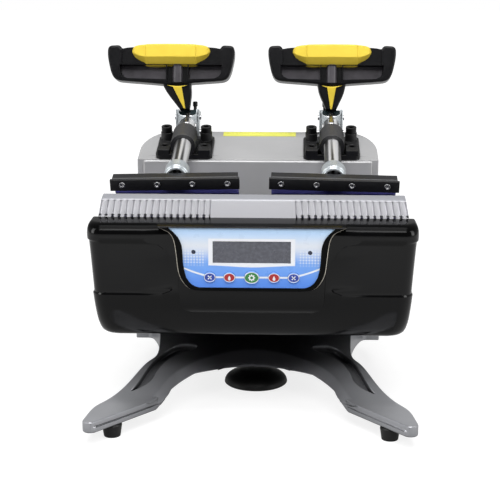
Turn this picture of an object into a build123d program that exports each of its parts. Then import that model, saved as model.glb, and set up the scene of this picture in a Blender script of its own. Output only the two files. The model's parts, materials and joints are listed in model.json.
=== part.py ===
from build123d import *
from math import cos, radians, sin
import os

# Double mug press, millimetres. The origin is the centre of the suction foot on the bench,
# +X is the operator's right, the operator stands at -Y, +Z is up.

# ---- body -----------------------------------------------------------------------------------
deck_front_y = 45.0          # front edge of the sloping deck
deck_front_z = 215.0
deck_tilt = 12.8             # the deck and both plungers fall towards the operator
deck_depth = 76.0
hood_back_y = deck_front_y + deck_depth
hood_front_y = deck_front_y + 1.5
hood_half = 119.5
hood_corner_x = 33.0
hood_corner_y = 50.0
hood_wall = 2.5
front_panel_half = 113.5
front_panel_t = 2.5
deck_strip_len = 75.0
deck_strip_wide = 11.0
base_top = 44.0
pedestal_top = 78.5
pedestal_half = 84.0
# ---- feet -----------------------------------------------------------------------------------
foot_h = 12.0
foot_r_floor = 7.4
foot_r_top = 9.0
front_foot = (123.0, -151.0)
rear_foot = (88.0, 110.0)
rear_pad_r = 12.0
suction_r = 31.0
suction_neck_r = 13.3
sole_r = 14.0                # flat middle of the centre foot
pad_t = 10.0                 # thickness of a leg at its foot
toe_bevel = 5.0              # height of the bevel along the front of a toe
toe_lip = 1.2                # the ledge below that bevel
waist_half = 92.0
recess_depth = 6.0
arch_z = 31.0                # underside of the casting between the legs
arch_rim = 3.0
slope_rise = 14.0            # the inner slope above the arch, and how far it opens
slope_spread = 13.0
flange_lip = 4.0             # the rear flange stands this far outside the hood
# ---- casing and mug wells -------------------------------------------------------------------
casing_wall = 3.0
casing_front_y = -120.0
casing_back_y = deck_front_y - front_panel_t
casing_top = 185.0
casing_bottom = pedestal_top
casing_rear_top = 160.0
casing_half_top = 146.0
casing_half_bottom = 131.0
lip_z = 171.0
crease_z = 122.0
lip_step = 2.0
ledge_back_y = -84.0
well_y = -48.0
well_z = 157.0
mat_outer_r = 46.0
mat_t = 4.0
mat_width = 116.0
saddle_t = 2.0
soft_gap = 0.3
saddle_width = 108.0
mat_front_angle = -36.0
mat_rear_angle = 18.0
well_opening_r = 47.5
# ---- guard ----------------------------------------------------------------------------------
guard_half = 140.0
guard_half_top = guard_half - 3.5
guard_plain_half = 43.8      # the smooth middle of the guard
guard_t = 3.0
guard_front_y = -88.0
guard_rear_y = -74.0
guard_top_z = 203.8
guard_shoulder_z = 201.0
rib_gap = 2.6
rib_depth = 1.8
ribs_per_side = 17
rib_pitch = (guard_half - 1.5 - guard_plain_half) / (ribs_per_side - 1)
# ---- rear connections ------------------------------------------------------------------------
inlet_x = -45.0
inlet_z = 135.0
inlet_w = 28.0
inlet_h = 20.0
rocker_x = 45.0
rocker_w = 16.0
rocker_h = 26.0
rocker_barrel_r = 5.6
spacer_h = 6.0
board_t = 1.6
core_len = 44.0
core_wide = 20.0
core_h = 34.0
# ---- stations -------------------------------------------------------------------------------
station_x = hood_half - 46.25
axis_h = 16.8                # plunger axis above the deck
barrel_r = 12.1
barrel_front = 5.4           # barrel mouth, forward of the deck's front edge
barrel_back = 27.0
plunger_r = 8.1
run_fit = 0.05
cup_back = 66.0              # distances forward along the plunger axis
cup_front = 84.0
cup_r = 11.6
bar_back = 86.5
strip_back = 98.0
strip_front = 101.0
bar_len = 116.0
bar_h = 12.0
strip_len = 119.5
strip_h = 11.0
bar_roll = {"left": -1.3, "right": 1.3}
strip_screw_pitch = 32.4
strip_screw_r = 3.1
mount_len = 51.0
mount_wide = 56.0
mount_t = 5.0
bolt_gap_x = 40.0
bolt_front_s = 14.0
bolt_rear_s = 43.0
bolt_head_h = 6.0
boss_half = 6.0
bolt_front_r = 4.2           # the front bolts are sunk in their bosses, the rear ones stand on theirs
front_seat = -1.0
bolt_rear_r = 5.4
rear_seat = 8.0
# ---- toggle linkage, in the station's side view: s back along the deck, h above it ------------
pivot_s = 60.0
pivot_h = 6.5
crank_r = 15.0
swing = 58.0
pin_r = 2.5
tail_s = 48.0
tail_end = 4.5
lug_in = 4.5
lug_t = 3.6
lever_half = 12.0
lever_t = 3.0
link_half = 2.0
link_eye_r = 6.2
link_end_r = 5.0
open_pivot_gap = 2.2
slot_half = 2.6
lever_deep = 10.0
stem_low = 20.6
neck_low_front = 3.0         # front face of the neck at the lever, behind the raised link
neck_low_back = 8.0
neck_high_d = 9.0
stem_front = -2.5
pocket_depth = 7.0
pocket_top = 68.5
column_half = 10.6           # glossy recessed column between the pockets
column_depth = 2.5
tab_x = 9.0
tab_top = 21.5
tab_d = 12.2
tab_rise = 6.0
lever_lean = 14.0            # the raised lever leans back from the vertical
lever_len = 22.5
neck_top = 45.0
handle_top = 86.0
handle_half = 64.5
handle_depth = 22.0
grip_half = 39.7
grip_low = 64.0
grip_high = 88.3
grip_depth = 27.0
handle_shift = {"left": -17.5, "right": 0.5}
# ---- front panel ----------------------------------------------------------------------------
panel_y = -123.0
panel_t = 0.6
bezel_y = -125.0
lcd_half = 34.4
lcd_low = 151.7
lcd_high = 171.4
key_z = 138.8
key_xs = {"key_left_set": -37.0, "key_left_heat": -19.7, "key_mode": 0.0,
          "key_right_heat": 19.7, "key_right_set": 37.0}
key_r = 5.0
mode_key_r = 6.3
key_h = 1.0
key_gap = 0.3
key_clear = 0.6
board_back = 8.0
led_x = 51.3
led_z = 161.5

tilt = radians(deck_tilt)
lean = radians(lever_lean)
deck_normal = (0, -sin(tilt), cos(tilt))
deck_back = (0, cos(tilt), sin(tilt))
stations = {"left": -station_x, "right": station_x}
bolt_seats = ((bolt_front_s, front_seat, bolt_front_r), (bolt_rear_s, rear_seat, bolt_rear_r))
crank_s = pivot_s + crank_r * sin(radians(swing / 2))
crank_h = pivot_h + crank_r * cos(radians(swing / 2))
os.makedirs("parts", exist_ok=True)


def deck_point(x, s, h):
    """A point given by its distance s back along the deck and its height h above it."""
    y = deck_front_y + s * cos(tilt) - h * sin(tilt)
    z = deck_front_z + s * sin(tilt) + h * cos(tilt)
    return (x, y, z)


def deck_plane(x, s=0.0, h=0.0):
    return Plane(origin=deck_point(x, s, h), x_dir=(1, 0, 0), z_dir=deck_normal)


def side_plane(x):
    """Side view of a station: local x runs back along the deck, local y is the height."""
    return Plane(origin=deck_point(x, 0, 0), x_dir=deck_back, z_dir=(1, 0, 0))


def axis_plane(x, forward, roll=0.0):
    """Faces the operator on the plunger axis, a distance forward of the deck's front edge."""
    x_dir = Vector(1, 0, 0).rotate(Axis((0, 0, 0), deck_back), roll)
    away = tuple(-c for c in deck_back)
    return Plane(origin=deck_point(x, -forward, axis_h), x_dir=x_dir, z_dir=away)


def lever_point(x, w, d=0.0):
    """A point w along the raised lever from its pivot and d towards the operator."""
    px, py, pz = deck_point(x, pivot_s, pivot_h)
    return (px, py + w * sin(lean) - d * cos(lean), pz + w * cos(lean) + d * sin(lean))


def lever_front(x, d=0.0):
    """Front view of the lever: local y runs along it from the pivot."""
    return Plane(origin=lever_point(x, 0, d), x_dir=(1, 0, 0), z_dir=(0, -cos(lean), sin(lean)))


def lever_cross(x, w, d=0.0):
    return Plane(origin=lever_point(x, w, d), x_dir=(1, 0, 0), z_dir=(0, sin(lean), cos(lean)))


def lever_side(x):
    """Side view of the lever: local x points away from the operator, local y along the lever."""
    return Plane(origin=lever_point(x, 0), x_dir=(0, cos(lean), -sin(lean)), z_dir=(1, 0, 0))


def save(builder, name):
    builder.part.label = name
    export_step(builder.part, "parts/" + name + ".step")


def hood_outline(inset):
    """Plan of the hood, with elliptical rear corners, drawn as a closed half and mirrored."""
    half = hood_half - inset
    front = hood_front_y + inset
    back = hood_back_y - inset
    corner_x = hood_corner_x - inset
    corner_y = hood_corner_y - inset
    with BuildSketch() as outline:
        with BuildLine():
            Polyline((0, back), (0, front), (-half, front), (-half, back - corner_y))
            centre = (-half + corner_x, back - corner_y)
            EllipticalCenterArc(centre, corner_x, corner_y, start_angle=90, arc_size=90)
            Line((-half + corner_x, back), (0, back))
        make_face()
        mirror(about=Plane.YZ)
    return outline.sketch


# ---- base casting: splayed front legs, a waist under the casing and a flange under the hood ------
toe_x = casing_half_top - 1.0
toe_top = foot_h + pad_t
reach_y = 250.0
arch_y = -48.0
waist_front_y = -40.0
pedestal_front_y = -14.0
pedestal_back_y = hood_back_y - 5.0
front_tip = (-toe_x, -191.0)
inner_corner = (59.0 - toe_x, -117.0)
# places along the arch, each with the direction in which the slope above it opens
arch_line = (((0.0, arch_y), 90), ((-40.0, -61.0), 117), ((-64.0, -83.0), 136), (inner_corner, 150))
leg_outer_points = ((0.5 - toe_x, -160.0), (5.0 - toe_x, -136.0), (-114.5, -94.5), (-99.0, -62.0))
waist_points = ((-waist_half - 4.5, 6.0), (-waist_half - 12.0, 34.0), (-waist_half - 19.0, casing_back_y))
crest_points = ((-128.0, toe_top), (-94.0, toe_top + 9.5), (-66.0, toe_top + 18.5), (-46.0, base_top + 1),
                (-24.0, base_top + 12))
recess_points = ((111, -105), (98, -72), (80, -40), (68, -34), (56, -37), (66, -46), (81, -60), (91, -83),
                 (99, -98))


def above_casting(drop):
    """Side view of the space above the casting's top surface, lowered by drop."""
    with BuildSketch() as space:
        with BuildLine():
            crest = [(y, z - drop) for y, z in (*crest_points, (pedestal_front_y, pedestal_top))]
            Line((-reach_y, toe_top - drop), crest[0])
            Spline(*crest, tangents=[(1, 0), (0.15, 1)])
            Polyline(crest[-1], (reach_y, pedestal_top - drop), (reach_y, 2 * pedestal_top),
                     (-reach_y, 2 * pedestal_top), (-reach_y, toe_top - drop))
        make_face()
    return space.sketch


def arch_curve(spread):
    """Half of the arch, from its crown to the inner corner of a leg, opened by spread."""
    return [(x + spread * cos(radians(turn)), y - arch_y + spread * sin(radians(turn)))
            for (x, y), turn in arch_line]


def arch_void(spread):
    """Plan of the gap between the legs, opened by spread; its origin is the crown of the arch."""
    with BuildSketch() as void:
        with BuildLine():
            curve = arch_curve(spread)
            Spline(*curve, tangents=[(-1, 0), (-0.5, -0.87)])
            Polyline(curve[-1], (0, curve[-1][1]), curve[0])
        make_face()
        mirror(about=Plane.YZ)
    return void.sketch


with BuildPart() as leg_recesses:
    with BuildSketch(Plane.XY):
        for side in (-1, 1):
            with BuildLine():
                Spline(*[(side * px, py) for px, py in recess_points], periodic=True)
            make_face()
    extrude(amount=2 * base_top)
    with BuildSketch(Plane.YZ):
        add(above_casting(recess_depth))
    extrude(amount=reach_y, both=True, mode=Mode.INTERSECT)

rim_fall = (arch_z + arch_rim + 4.0 - toe_top) / (arch_y - inner_corner[1])
slope_plane = Plane(origin=(0, arch_y, arch_z + arch_rim), x_dir=(1, 0, 0), z_dir=(0, -rim_fall, 1))
with BuildPart() as arch_slope:
    with BuildSketch(slope_plane.offset(-2)):
        add(arch_void(-2))
    with BuildSketch(slope_plane.offset(slope_rise)):
        add(arch_void(slope_spread))
    loft(ruled=True)

with BuildPart() as base_casting:
    with BuildSketch(Plane.XY) as plan:
        with BuildLine():
            Spline(*[(x, y + arch_y) for x, y in arch_curve(0)], tangents=[(-1, 0), (-0.5, -0.87)])
            Line(inner_corner, front_tip)
            Spline(front_tip, *leg_outer_points, (-waist_half, waist_front_y), tangents=[(-0.3, 1), (0, 1)])
            Spline((-waist_half, waist_front_y), *waist_points, tangents=[(0, 1), (-1, 0.2)])
            Polyline(waist_points[-1], (0, casing_back_y), (0, arch_y))
        make_face()
        fillet(plan.vertices().sort_by(Axis.Y)[0], 7.0)
        fillet(plan.vertices().filter_by_position(Axis.Y, inner_corner[1] - 0.5, inner_corner[1] + 0.5), 5.0)
        mirror(about=Plane.YZ)
    extrude(amount=pedestal_top)
    with BuildSketch(Plane.YZ):
        add(above_casting(0))
    extrude(amount=reach_y, both=True, mode=Mode.SUBTRACT)
    with BuildSketch(Plane.YZ):
        with BuildLine():
            Polyline((-reach_y, foot_h), (-118, foot_h), (-95, 24), (-70, arch_z), (reach_y, arch_z),
                     (reach_y, -1), (-reach_y, -1), close=True)
        make_face()
    extrude(amount=reach_y, both=True, mode=Mode.SUBTRACT)
    add(arch_slope.part, mode=Mode.SUBTRACT)
    with BuildSketch(Plane.XY.offset(arch_z)):
        add(hood_outline(-flange_lip))
    extrude(amount=base_top - arch_z)
    with BuildSketch(Plane.XY.offset(arch_z)):
        with Locations((0, (casing_back_y + pedestal_back_y) / 2)):
            Rectangle(2 * pedestal_half, pedestal_back_y - casing_back_y)
    extrude(amount=pedestal_top - arch_z)
    with BuildSketch(Plane.XY.offset(foot_h)):
        with Locations(*[(side * rear_foot[0], rear_foot[1]) for side in (-1, 1)]):
            Circle(rear_pad_r)
    extrude(amount=arch_z - foot_h)
    toe = Vector(front_tip[0] - inner_corner[0], front_tip[1] - inner_corner[1], 0)
    toe_plane = Plane(origin=(*inner_corner, toe_top), x_dir=toe.rotate(Axis.Z, 90), z_dir=toe)
    with BuildSketch(toe_plane.offset(-8)):
        with BuildLine():
            Polyline((-1, 0), (toe_bevel * 1.5 + toe_lip, 0), (toe_lip, -toe_bevel), (-1, -toe_bevel),
                     close=True)
        make_face()
    toe_wedge = extrude(amount=toe.length + 20, mode=Mode.PRIVATE)
    add(toe_wedge, mode=Mode.SUBTRACT)
    add(mirror(toe_wedge, about=Plane.YZ, mode=Mode.PRIVATE), mode=Mode.SUBTRACT)
    add(leg_recesses.part, mode=Mode.SUBTRACT)
    with Locations(*[(sx * px, py, foot_h) for sx in (-1, 1) for px, py in (front_foot, rear_foot)]):
        Hole(radius=3.0, depth=7.0)
    with BuildSketch(Plane.XY.offset(arch_z - 1)):
        Circle(4.0)
    extrude(amount=14.0, mode=Mode.SUBTRACT)
save(base_casting, "base_casting")

with BuildPart() as rubber_feet:
    for px, py in (front_foot, rear_foot):
        for side in (-1, 1):
            with BuildSketch(Plane.XZ.offset(-py)):
                with BuildLine():
                    x0 = side * px
                    Polyline((x0, 0), (x0 + foot_r_floor, 0), (x0 + foot_r_top, foot_h - 1.5),
                             (x0 + foot_r_top - 1, foot_h), (x0 + 2.9, foot_h), (x0 + 2.9, foot_h + 6),
                             (x0, foot_h + 6), close=True)
                make_face()
            revolve(axis=Axis((x0, py, 0), (0, 0, 1)))
save(rubber_feet, "rubber_feet")

with BuildPart() as suction_foot:
    with BuildSketch(Plane.XZ):
        with BuildLine():
            Polyline((0, 0), (sole_r, 0), (sole_r + 2, 2), (suction_r - 5, 1.5), (suction_r - 1.5, 0),
                     (suction_r, 1.2))
            Spline((suction_r, 1.2), (suction_r - 5, 9), (suction_neck_r + 2, 15), (suction_neck_r, 22))
            Polyline((suction_neck_r, 22), (suction_neck_r, arch_z - 1), (3.9, arch_z - 1), (3.9, arch_z + 12),
                     (0, arch_z + 12), (0, 0))
        make_face()
    revolve(axis=Axis.Z)
save(suction_foot, "suction_foot")


# ---- hood: a box with a sloping deck and wide rear corners -------------------------------------
def above_deck(drop):
    """The space above the deck plane lowered by drop."""
    with BuildPart() as space:
        with BuildSketch(deck_plane(0, 0, -drop)):
            Rectangle(4 * hood_half, 4 * hood_half)
        extrude(amount=deck_front_z)
    return space.part


with BuildPart() as hood_space:
    with BuildSketch(Plane.XY.offset(base_top)):
        add(hood_outline(hood_wall))
    extrude(amount=deck_front_z)
    add(above_deck(hood_wall), mode=Mode.SUBTRACT)

with BuildPart() as hood_shell:
    with BuildSketch(Plane.XY.offset(base_top)):
        add(hood_outline(0))
    extrude(amount=deck_front_z)
    add(above_deck(0), mode=Mode.SUBTRACT)
    add(hood_space.part, mode=Mode.SUBTRACT)
    with BuildSketch(Plane.XZ.offset(-hood_front_y - 10)):
        with Locations((0, (pedestal_top + base_top) / 2)):
            Rectangle(2 * pedestal_half + 1, pedestal_top - base_top + 1)
    extrude(amount=12, mode=Mode.SUBTRACT)
    with Locations(*[deck_plane(x + sx * bolt_gap_x / 2, s) for x in stations.values() for sx in (-1, 1)
                     for s in (bolt_front_s, bolt_rear_s)]):
        Hole(radius=3.0, depth=10)
    with BuildSketch(Plane.XZ.offset(-hood_back_y - 5)):
        with Locations((inlet_x, inlet_z)):
            Rectangle(inlet_w, inlet_h)
        with Locations((rocker_x, inlet_z)):
            Rectangle(rocker_w, rocker_h)
    extrude(amount=12, mode=Mode.SUBTRACT)
save(hood_shell, "hood_shell")

with BuildPart() as hood_front_panel:
    with BuildSketch(Plane.XY.offset(pedestal_top)):
        with Locations((0, hood_front_y - 0.75 - front_panel_t / 2)):
            Rectangle(2 * front_panel_half, front_panel_t)
    extrude(amount=deck_front_z - pedestal_top - 0.3)
    top_front = edges().filter_by(Axis.X).group_by(Axis.Z)[-1].sort_by(Axis.Y)[0]
    fillet(top_front, front_panel_t - 0.6)
    upright = edges().filter_by(Axis.Z).group_by(Axis.Y)[0]
    fillet(upright, front_panel_t - 0.6)
save(hood_front_panel, "hood_front_panel")

with BuildPart() as deck_strip:
    with BuildSketch(deck_plane(0, deck_depth / cos(tilt) - 8)):
        RectangleRounded(deck_strip_len, deck_strip_wide, 1)
    extrude(amount=0.4)
save(deck_strip, "deck_strip")

# ---- power inlet, switch and power board at the rear --------------------------------------------
with BuildPart() as power_inlet:
    with BuildSketch(Plane.XZ.offset(-hood_back_y - 0.01)):
        with Locations((inlet_x, inlet_z)):
            RectangleRounded(inlet_w + 8, inlet_h + 5, 2)
    extrude(amount=-2.5)
    with BuildSketch(Plane.XZ.offset(-hood_back_y)):
        with Locations((inlet_x, inlet_z)):
            Rectangle(inlet_w - 0.4, inlet_h - 0.4)
    extrude(amount=24)
    with BuildSketch(Plane.XZ.offset(-hood_back_y - 2.5)):
        with Locations((inlet_x, inlet_z)):
            RectangleRounded(24, 16.5, 3)
    extrude(amount=18, mode=Mode.SUBTRACT)
    with BuildSketch(Plane.XZ.offset(-hood_back_y + 15)):
        with Locations((inlet_x - 7, inlet_z - 2), (inlet_x, inlet_z + 2), (inlet_x + 7, inlet_z - 2)):
            Rectangle(2, 4)
    extrude(amount=-14)
save(power_inlet, "power_inlet")

with BuildPart() as switch_frame:
    with BuildSketch(Plane.XZ.offset(-hood_back_y)):
        with Locations((rocker_x, inlet_z)):
            Rectangle(rocker_w + 3, rocker_h + 3)
            Rectangle(rocker_w - 3, rocker_h - 3, mode=Mode.SUBTRACT)
    extrude(amount=-2)
    with BuildSketch(Plane.XZ.offset(-hood_back_y)):
        with Locations((rocker_x, inlet_z)):
            Rectangle(rocker_w - 0.4, rocker_h - 0.4)
            Rectangle(rocker_w - 3, rocker_h - 3, mode=Mode.SUBTRACT)
    extrude(amount=20)
    with BuildSketch(Plane.XZ.offset(-hood_back_y + 18)):
        with Locations((rocker_x, inlet_z)):
            Rectangle(rocker_w - 2, rocker_h - 2)
    extrude(amount=2)
save(switch_frame, "switch_frame")

rocker_half = (rocker_h - 3) / 2 - 0.6
rocker_axis_y = hood_back_y - 4.0
with BuildPart() as power_rocker:
    with BuildSketch(Plane.YZ.offset(rocker_x)):
        with BuildLine():
            Polyline((rocker_axis_y - 5, inlet_z - 3), (rocker_axis_y - 5, inlet_z + 3),
                     (rocker_axis_y + 2, inlet_z + rocker_half - 1),
                     (rocker_axis_y + 9, inlet_z + rocker_half - 1.5), (rocker_axis_y + 6, inlet_z),
                     (rocker_axis_y + 6, inlet_z - rocker_half + 1),
                     (rocker_axis_y + 2, inlet_z - rocker_half + 1), close=True)
        make_face()
        with Locations((rocker_axis_y, inlet_z)):
            Circle(rocker_barrel_r)
    extrude(amount=(rocker_w - 3) / 2 - 0.4, both=True)
save(power_rocker, "power_rocker")

board_y = (hood_front_y + hood_back_y) / 2 - 1.75
board_len = 1.45 * pedestal_half
board_wide = deck_depth - 22.0
board_top = pedestal_top + spacer_h + board_t
core_x = -34.0
with BuildPart() as power_board:
    with BuildSketch(Plane.XY.offset(pedestal_top)):
        for spacer_x in (6 - board_len / 2, board_len / 2 - 6):
            spacer_y = board_wide / 2 - 6
            with Locations((spacer_x, board_y - spacer_y), (spacer_x, board_y + spacer_y)):
                Circle(3)
    extrude(amount=spacer_h)
    with BuildSketch(Plane.XY.offset(pedestal_top + spacer_h)):
        with Locations((0, board_y)):
            Rectangle(board_len, board_wide)
    extrude(amount=board_t)
    with BuildSketch(Plane.XY.offset(board_top)):
        with Locations((-core_x - 2, board_y + 4), (14 - core_x, board_y + 4)):
            Rectangle(12, 26)
    extrude(amount=15)
    with BuildSketch(Plane.XY.offset(board_top)):
        with Locations((8, board_y - 8), (8, board_y + 8)):
            Circle(5)
    extrude(amount=12)
save(power_board, "power_board")

with BuildPart() as transformer:
    with BuildSketch(Plane.XY.offset(board_top)):
        with Locations((core_x, board_y)):
            Rectangle(core_len, core_wide)
    extrude(amount=core_h)
    with BuildSketch(Plane.XY.offset(board_top + core_h / 8)):
        with Locations((core_x, board_y)):
            RectangleRounded(core_len - 16, core_wide + 14, 4)
    extrude(amount=core_h * 3 / 4)
save(transformer, "transformer")

# ---- control casing: a moulded tub that carries the panel and surrounds both mug wells ------------
def casing_front(inset):
    """Front view of the casing, narrower towards its rounded bottom corners."""
    with BuildSketch() as outline:
        with BuildLine():
            top = casing_top - inset
            low = casing_bottom + inset
            Polyline((0, low), (0, top), (-casing_half_top + 2 + inset, top))
            Spline((-casing_half_top + 2 + inset, top), (-casing_half_top + inset, top - 12),
                   (-casing_half_top + 6.5 + inset, crease_z), (-casing_half_bottom + inset - 2, low + 14),
                   (-casing_half_bottom + inset + 12, low), tangents=[(-1, -1.5), (1, -0.1)])
            Line((-casing_half_bottom + inset + 12, low), (0, low))
        make_face()
        mirror(about=Plane.YZ)
    return outline.sketch


def casing_side(inset):
    """Side view of the casing: ledge, rounded shoulder, overhanging lip and a tucked-in bottom."""
    front = casing_front_y + inset
    with BuildSketch() as outline:
        with BuildLine():
            Line((casing_back_y - inset, casing_bottom + inset), (casing_back_y - inset, casing_top - inset))
            Line((casing_back_y - inset, casing_top - inset), (front + 10, casing_top - inset))
            Spline((front + 10, casing_top - inset), (front, casing_top - 9), tangents=[(-1, 0), (0, -1)])
            Polyline((front, casing_top - 9), (front, lip_z), (front + lip_step, lip_z - lip_step),
                     (front + lip_step, crease_z))
            Spline((front + lip_step, crease_z), (front + 22, casing_bottom + inset),
                   tangents=[(0.12, -1), (1, -0.45)])
            Line((front + 22, casing_bottom + inset), (casing_back_y - inset, casing_bottom + inset))
        make_face()
    return outline.sketch


def panel_outline(grow):
    """Outline of the film panel: wide at the top, drawn in by an S-curve on each side."""
    with BuildSketch() as outline:
        with BuildLine():
            top = casing_top - 1.6 + grow
            low = 129.4 - grow
            half_low = 46.5 + grow
            Polyline((0, low), (0, top), (-73.5 - grow, top))
            Spline((-73.5 - grow, top), (-62.5 - grow, 170.0), (-60.3 - grow, 150.0), (-58.0 - grow, 139.0),
                   (-half_low, low), tangents=[(1.2, -1), (1, -0.25)])
            Line((-half_low, low), (0, low))
        make_face()
        mirror(about=Plane.YZ)
    return outline.sketch


def behind_ledge(drop):
    """The open space behind the ledge, above the rear shelf lowered by drop."""
    with BuildPart() as space:
        with BuildSketch(Plane.YZ):
            with BuildLine():
                front = ledge_back_y - drop
                back = casing_back_y + 5
                Polyline((front, casing_rear_top - drop), (front, casing_top + 5), (back, casing_top + 5),
                         (back, casing_rear_top - drop), close=True)
            make_face()
        extrude(amount=200, both=True)
    return space.part


with BuildPart() as casing_space:
    with BuildSketch(Plane.XZ):
        add(casing_front(casing_wall))
    extrude(amount=200, both=True)
    with BuildSketch(Plane.YZ):
        add(casing_side(casing_wall))
    extrude(amount=200, both=True, mode=Mode.INTERSECT)
    add(behind_ledge(casing_wall), mode=Mode.SUBTRACT)

with BuildPart() as control_casing:
    with BuildSketch(Plane.XZ):
        add(casing_front(0))
    extrude(amount=200, both=True)
    with BuildSketch(Plane.YZ):
        add(casing_side(0))
    extrude(amount=200, both=True, mode=Mode.INTERSECT)
    add(behind_ledge(0), mode=Mode.SUBTRACT)
    add(casing_space.part, mode=Mode.SUBTRACT)
    with BuildSketch(Plane.YZ):
        with Locations((well_y, well_z)):
            Circle(well_opening_r)
    extrude(amount=200, both=True, mode=Mode.SUBTRACT)
    # the console: a block that stands forward of the face, with a step under the panel
    with BuildSketch(Plane.XZ.offset(-casing_front_y - lip_step - 1)):
        with BuildLine():
            Polyline((0, 105), (0, casing_top - 1), (-84, casing_top - 1))
            Spline((-84, casing_top - 1), (-68, 162), (-64, 143), (-60, 112), tangents=[(1, -0.4), (0.1, -1)])
            Polyline((-60, 112), (-55, 105), (0, 105))
        make_face()
        mirror(about=Plane.YZ)
    extrude(amount=casing_front_y + lip_step + 1 - panel_y)
    with BuildSketch(Plane.XZ.offset(-panel_y)):
        with Locations((0, (lcd_low + lcd_high) / 2)):
            Rectangle(2 * lcd_half + 12, lcd_high - lcd_low + 10)
        with Locations(*[(x, key_z) for x in key_xs.values()]):
            Circle(mode_key_r + 0.6)
        with Locations((-led_x, led_z), (led_x, led_z)):
            Circle(2.2)
    extrude(amount=-12, mode=Mode.SUBTRACT)
save(control_casing, "control_casing")

with BuildPart() as console_bezel:
    with BuildSketch(Plane.XZ.offset(-panel_y)):
        with BuildLine():
            Polyline((0, 126), (0, casing_top - 1.2), (-83, casing_top - 1.2))
            Spline((-83, casing_top - 1.2), (-67, 163), (-65, 143), (-54, 128.5), tangents=[(1, -0.3), (1, -0.5)])
            Line((-54, 128.5), (0, 126))
        make_face()
        mirror(about=Plane.YZ)
    extrude(amount=-(bezel_y - panel_y))
    with BuildSketch(Plane.XZ.offset(-panel_y)):
        add(panel_outline(0.4))
    extrude(amount=-(bezel_y - panel_y), mode=Mode.SUBTRACT)
save(console_bezel, "console_bezel")

with BuildPart() as panel_overlay:
    with BuildSketch(Plane.XZ.offset(-panel_y)):
        add(panel_outline(0))
        with Locations((0, (lcd_low + lcd_high) / 2)):
            Rectangle(2 * lcd_half, lcd_high - lcd_low, mode=Mode.SUBTRACT)
        with Locations(*[(x, key_z) for name, x in key_xs.items() if name != "key_mode"]):
            Circle(key_r + key_gap, mode=Mode.SUBTRACT)
        with Locations((0, key_z)):
            Circle(mode_key_r + key_gap, mode=Mode.SUBTRACT)
        with Locations((-led_x, led_z), (led_x, led_z)):
            Circle(1.9, mode=Mode.SUBTRACT)
    extrude(amount=panel_t)
save(panel_overlay, "panel_overlay")

for name, x in key_xs.items():
    radius = mode_key_r if name == "key_mode" else key_r
    with BuildPart() as key:
        with BuildSketch(Plane.XZ.offset(-panel_y)):
            with Locations((x, key_z)):
                Circle(radius)
        extrude(amount=panel_t + key_h)
        with BuildSketch(Plane.XZ.offset(-panel_y)):
            with Locations((x, key_z)):
                Circle(1.6)
        extrude(amount=-(board_back - key_clear))
    save(key, name)

with BuildPart() as lcd_module:
    with BuildSketch(Plane.XZ.offset(-panel_y)):
        with Locations((0, (lcd_low + lcd_high) / 2)):
            Rectangle(2 * lcd_half + 8, lcd_high - lcd_low + 8)
    extrude(amount=-board_back)
    with BuildSketch(Plane.XZ.offset(-panel_y - board_back)):
        with Locations((0, (lcd_low + lcd_high) / 2)):
            Rectangle(2 * lcd_half + 10, lcd_high - lcd_low + 9)
    extrude(amount=-board_t)
save(lcd_module, "lcd_module")

with BuildPart() as indicator_leds:
    with BuildSketch(Plane.XZ.offset(-panel_y + panel_t)):
        with Locations((-led_x, led_z), (led_x, led_z)):
            Circle(1.6)
    extrude(amount=-(board_back + panel_t))
save(indicator_leds, "indicator_leds")

with BuildPart() as control_board:
    with BuildSketch(Plane.XZ.offset(-panel_y - board_back)):
        with Locations((0, (lcd_low + lcd_high) / 2 - 12.5)):
            Rectangle(2 * led_x + 9.5, lcd_high - lcd_low + 18.5)
        with Locations((0, (lcd_low + lcd_high) / 2)):
            Rectangle(2 * lcd_half + 11, lcd_high - lcd_low + 10, mode=Mode.SUBTRACT)
    extrude(amount=-board_t)
save(control_board, "control_board")

# ---- ribbed guard: a folded cover with vertical flutes in front of both stations -----------------
with BuildPart() as ribbed_guard:
    with BuildSketch(Plane.YZ):
        with BuildLine():
            inner_y = guard_front_y + guard_t
            Polyline((guard_rear_y, guard_top_z), (guard_front_y + 2, guard_shoulder_z),
                     (guard_front_y, casing_top), (inner_y, casing_top), (inner_y + 2, guard_shoulder_z - guard_t),
                     (guard_rear_y, guard_top_z - guard_t), close=True)
        make_face()
    extrude(amount=guard_half, both=True)
    with BuildSketch(Plane.XZ.offset(-guard_front_y + 5)):
        with BuildLine():
            Polyline((guard_half, casing_top - 1), (guard_half, casing_top), (guard_half_top, guard_top_z + 1),
                     (guard_half + 9, guard_top_z + 1), (guard_half + 9, casing_top - 1), close=True)
        make_face()
        mirror(about=Plane.YZ)
    extrude(amount=-40, both=True, mode=Mode.SUBTRACT)
    with BuildSketch(Plane.XY.offset(casing_top)):
        for side in (-1, 1):
            groove_xs = [side * (guard_half - 1.5 - rib_pitch * n) for n in range(ribs_per_side)]
            with Locations(*[(x, guard_front_y) for x in groove_xs]):
                Rectangle(rib_gap, 2 * rib_depth + 2)
    extrude(amount=guard_shoulder_z - casing_top - 1.0, mode=Mode.SUBTRACT)
save(ribbed_guard, "ribbed_guard")

# ---- mug wells: soft heater mats in steel saddles that stand on the casing floor -------------------
def arc_band(inner, outer, start, end):
    """Band about the well axis between two angles from straight up, positive to the rear."""
    with BuildSketch() as band:
        with Locations((well_y, well_z)):
            Circle(outer)
            Circle(inner, mode=Mode.SUBTRACT)
        with BuildLine():
            first = (well_y + 90 * sin(radians(start)), well_z + 90 * cos(radians(start)))
            last = (well_y + 90 * sin(radians(end)), well_z + 90 * cos(radians(end)))
            middle_angle = radians((start + end) / 2)
            middle = (well_y + 120 * sin(middle_angle), well_z + 120 * cos(middle_angle))
            Polyline((well_y, well_z), first, middle, last, close=True)
        make_face(mode=Mode.SUBTRACT)
    return band.sketch


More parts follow.
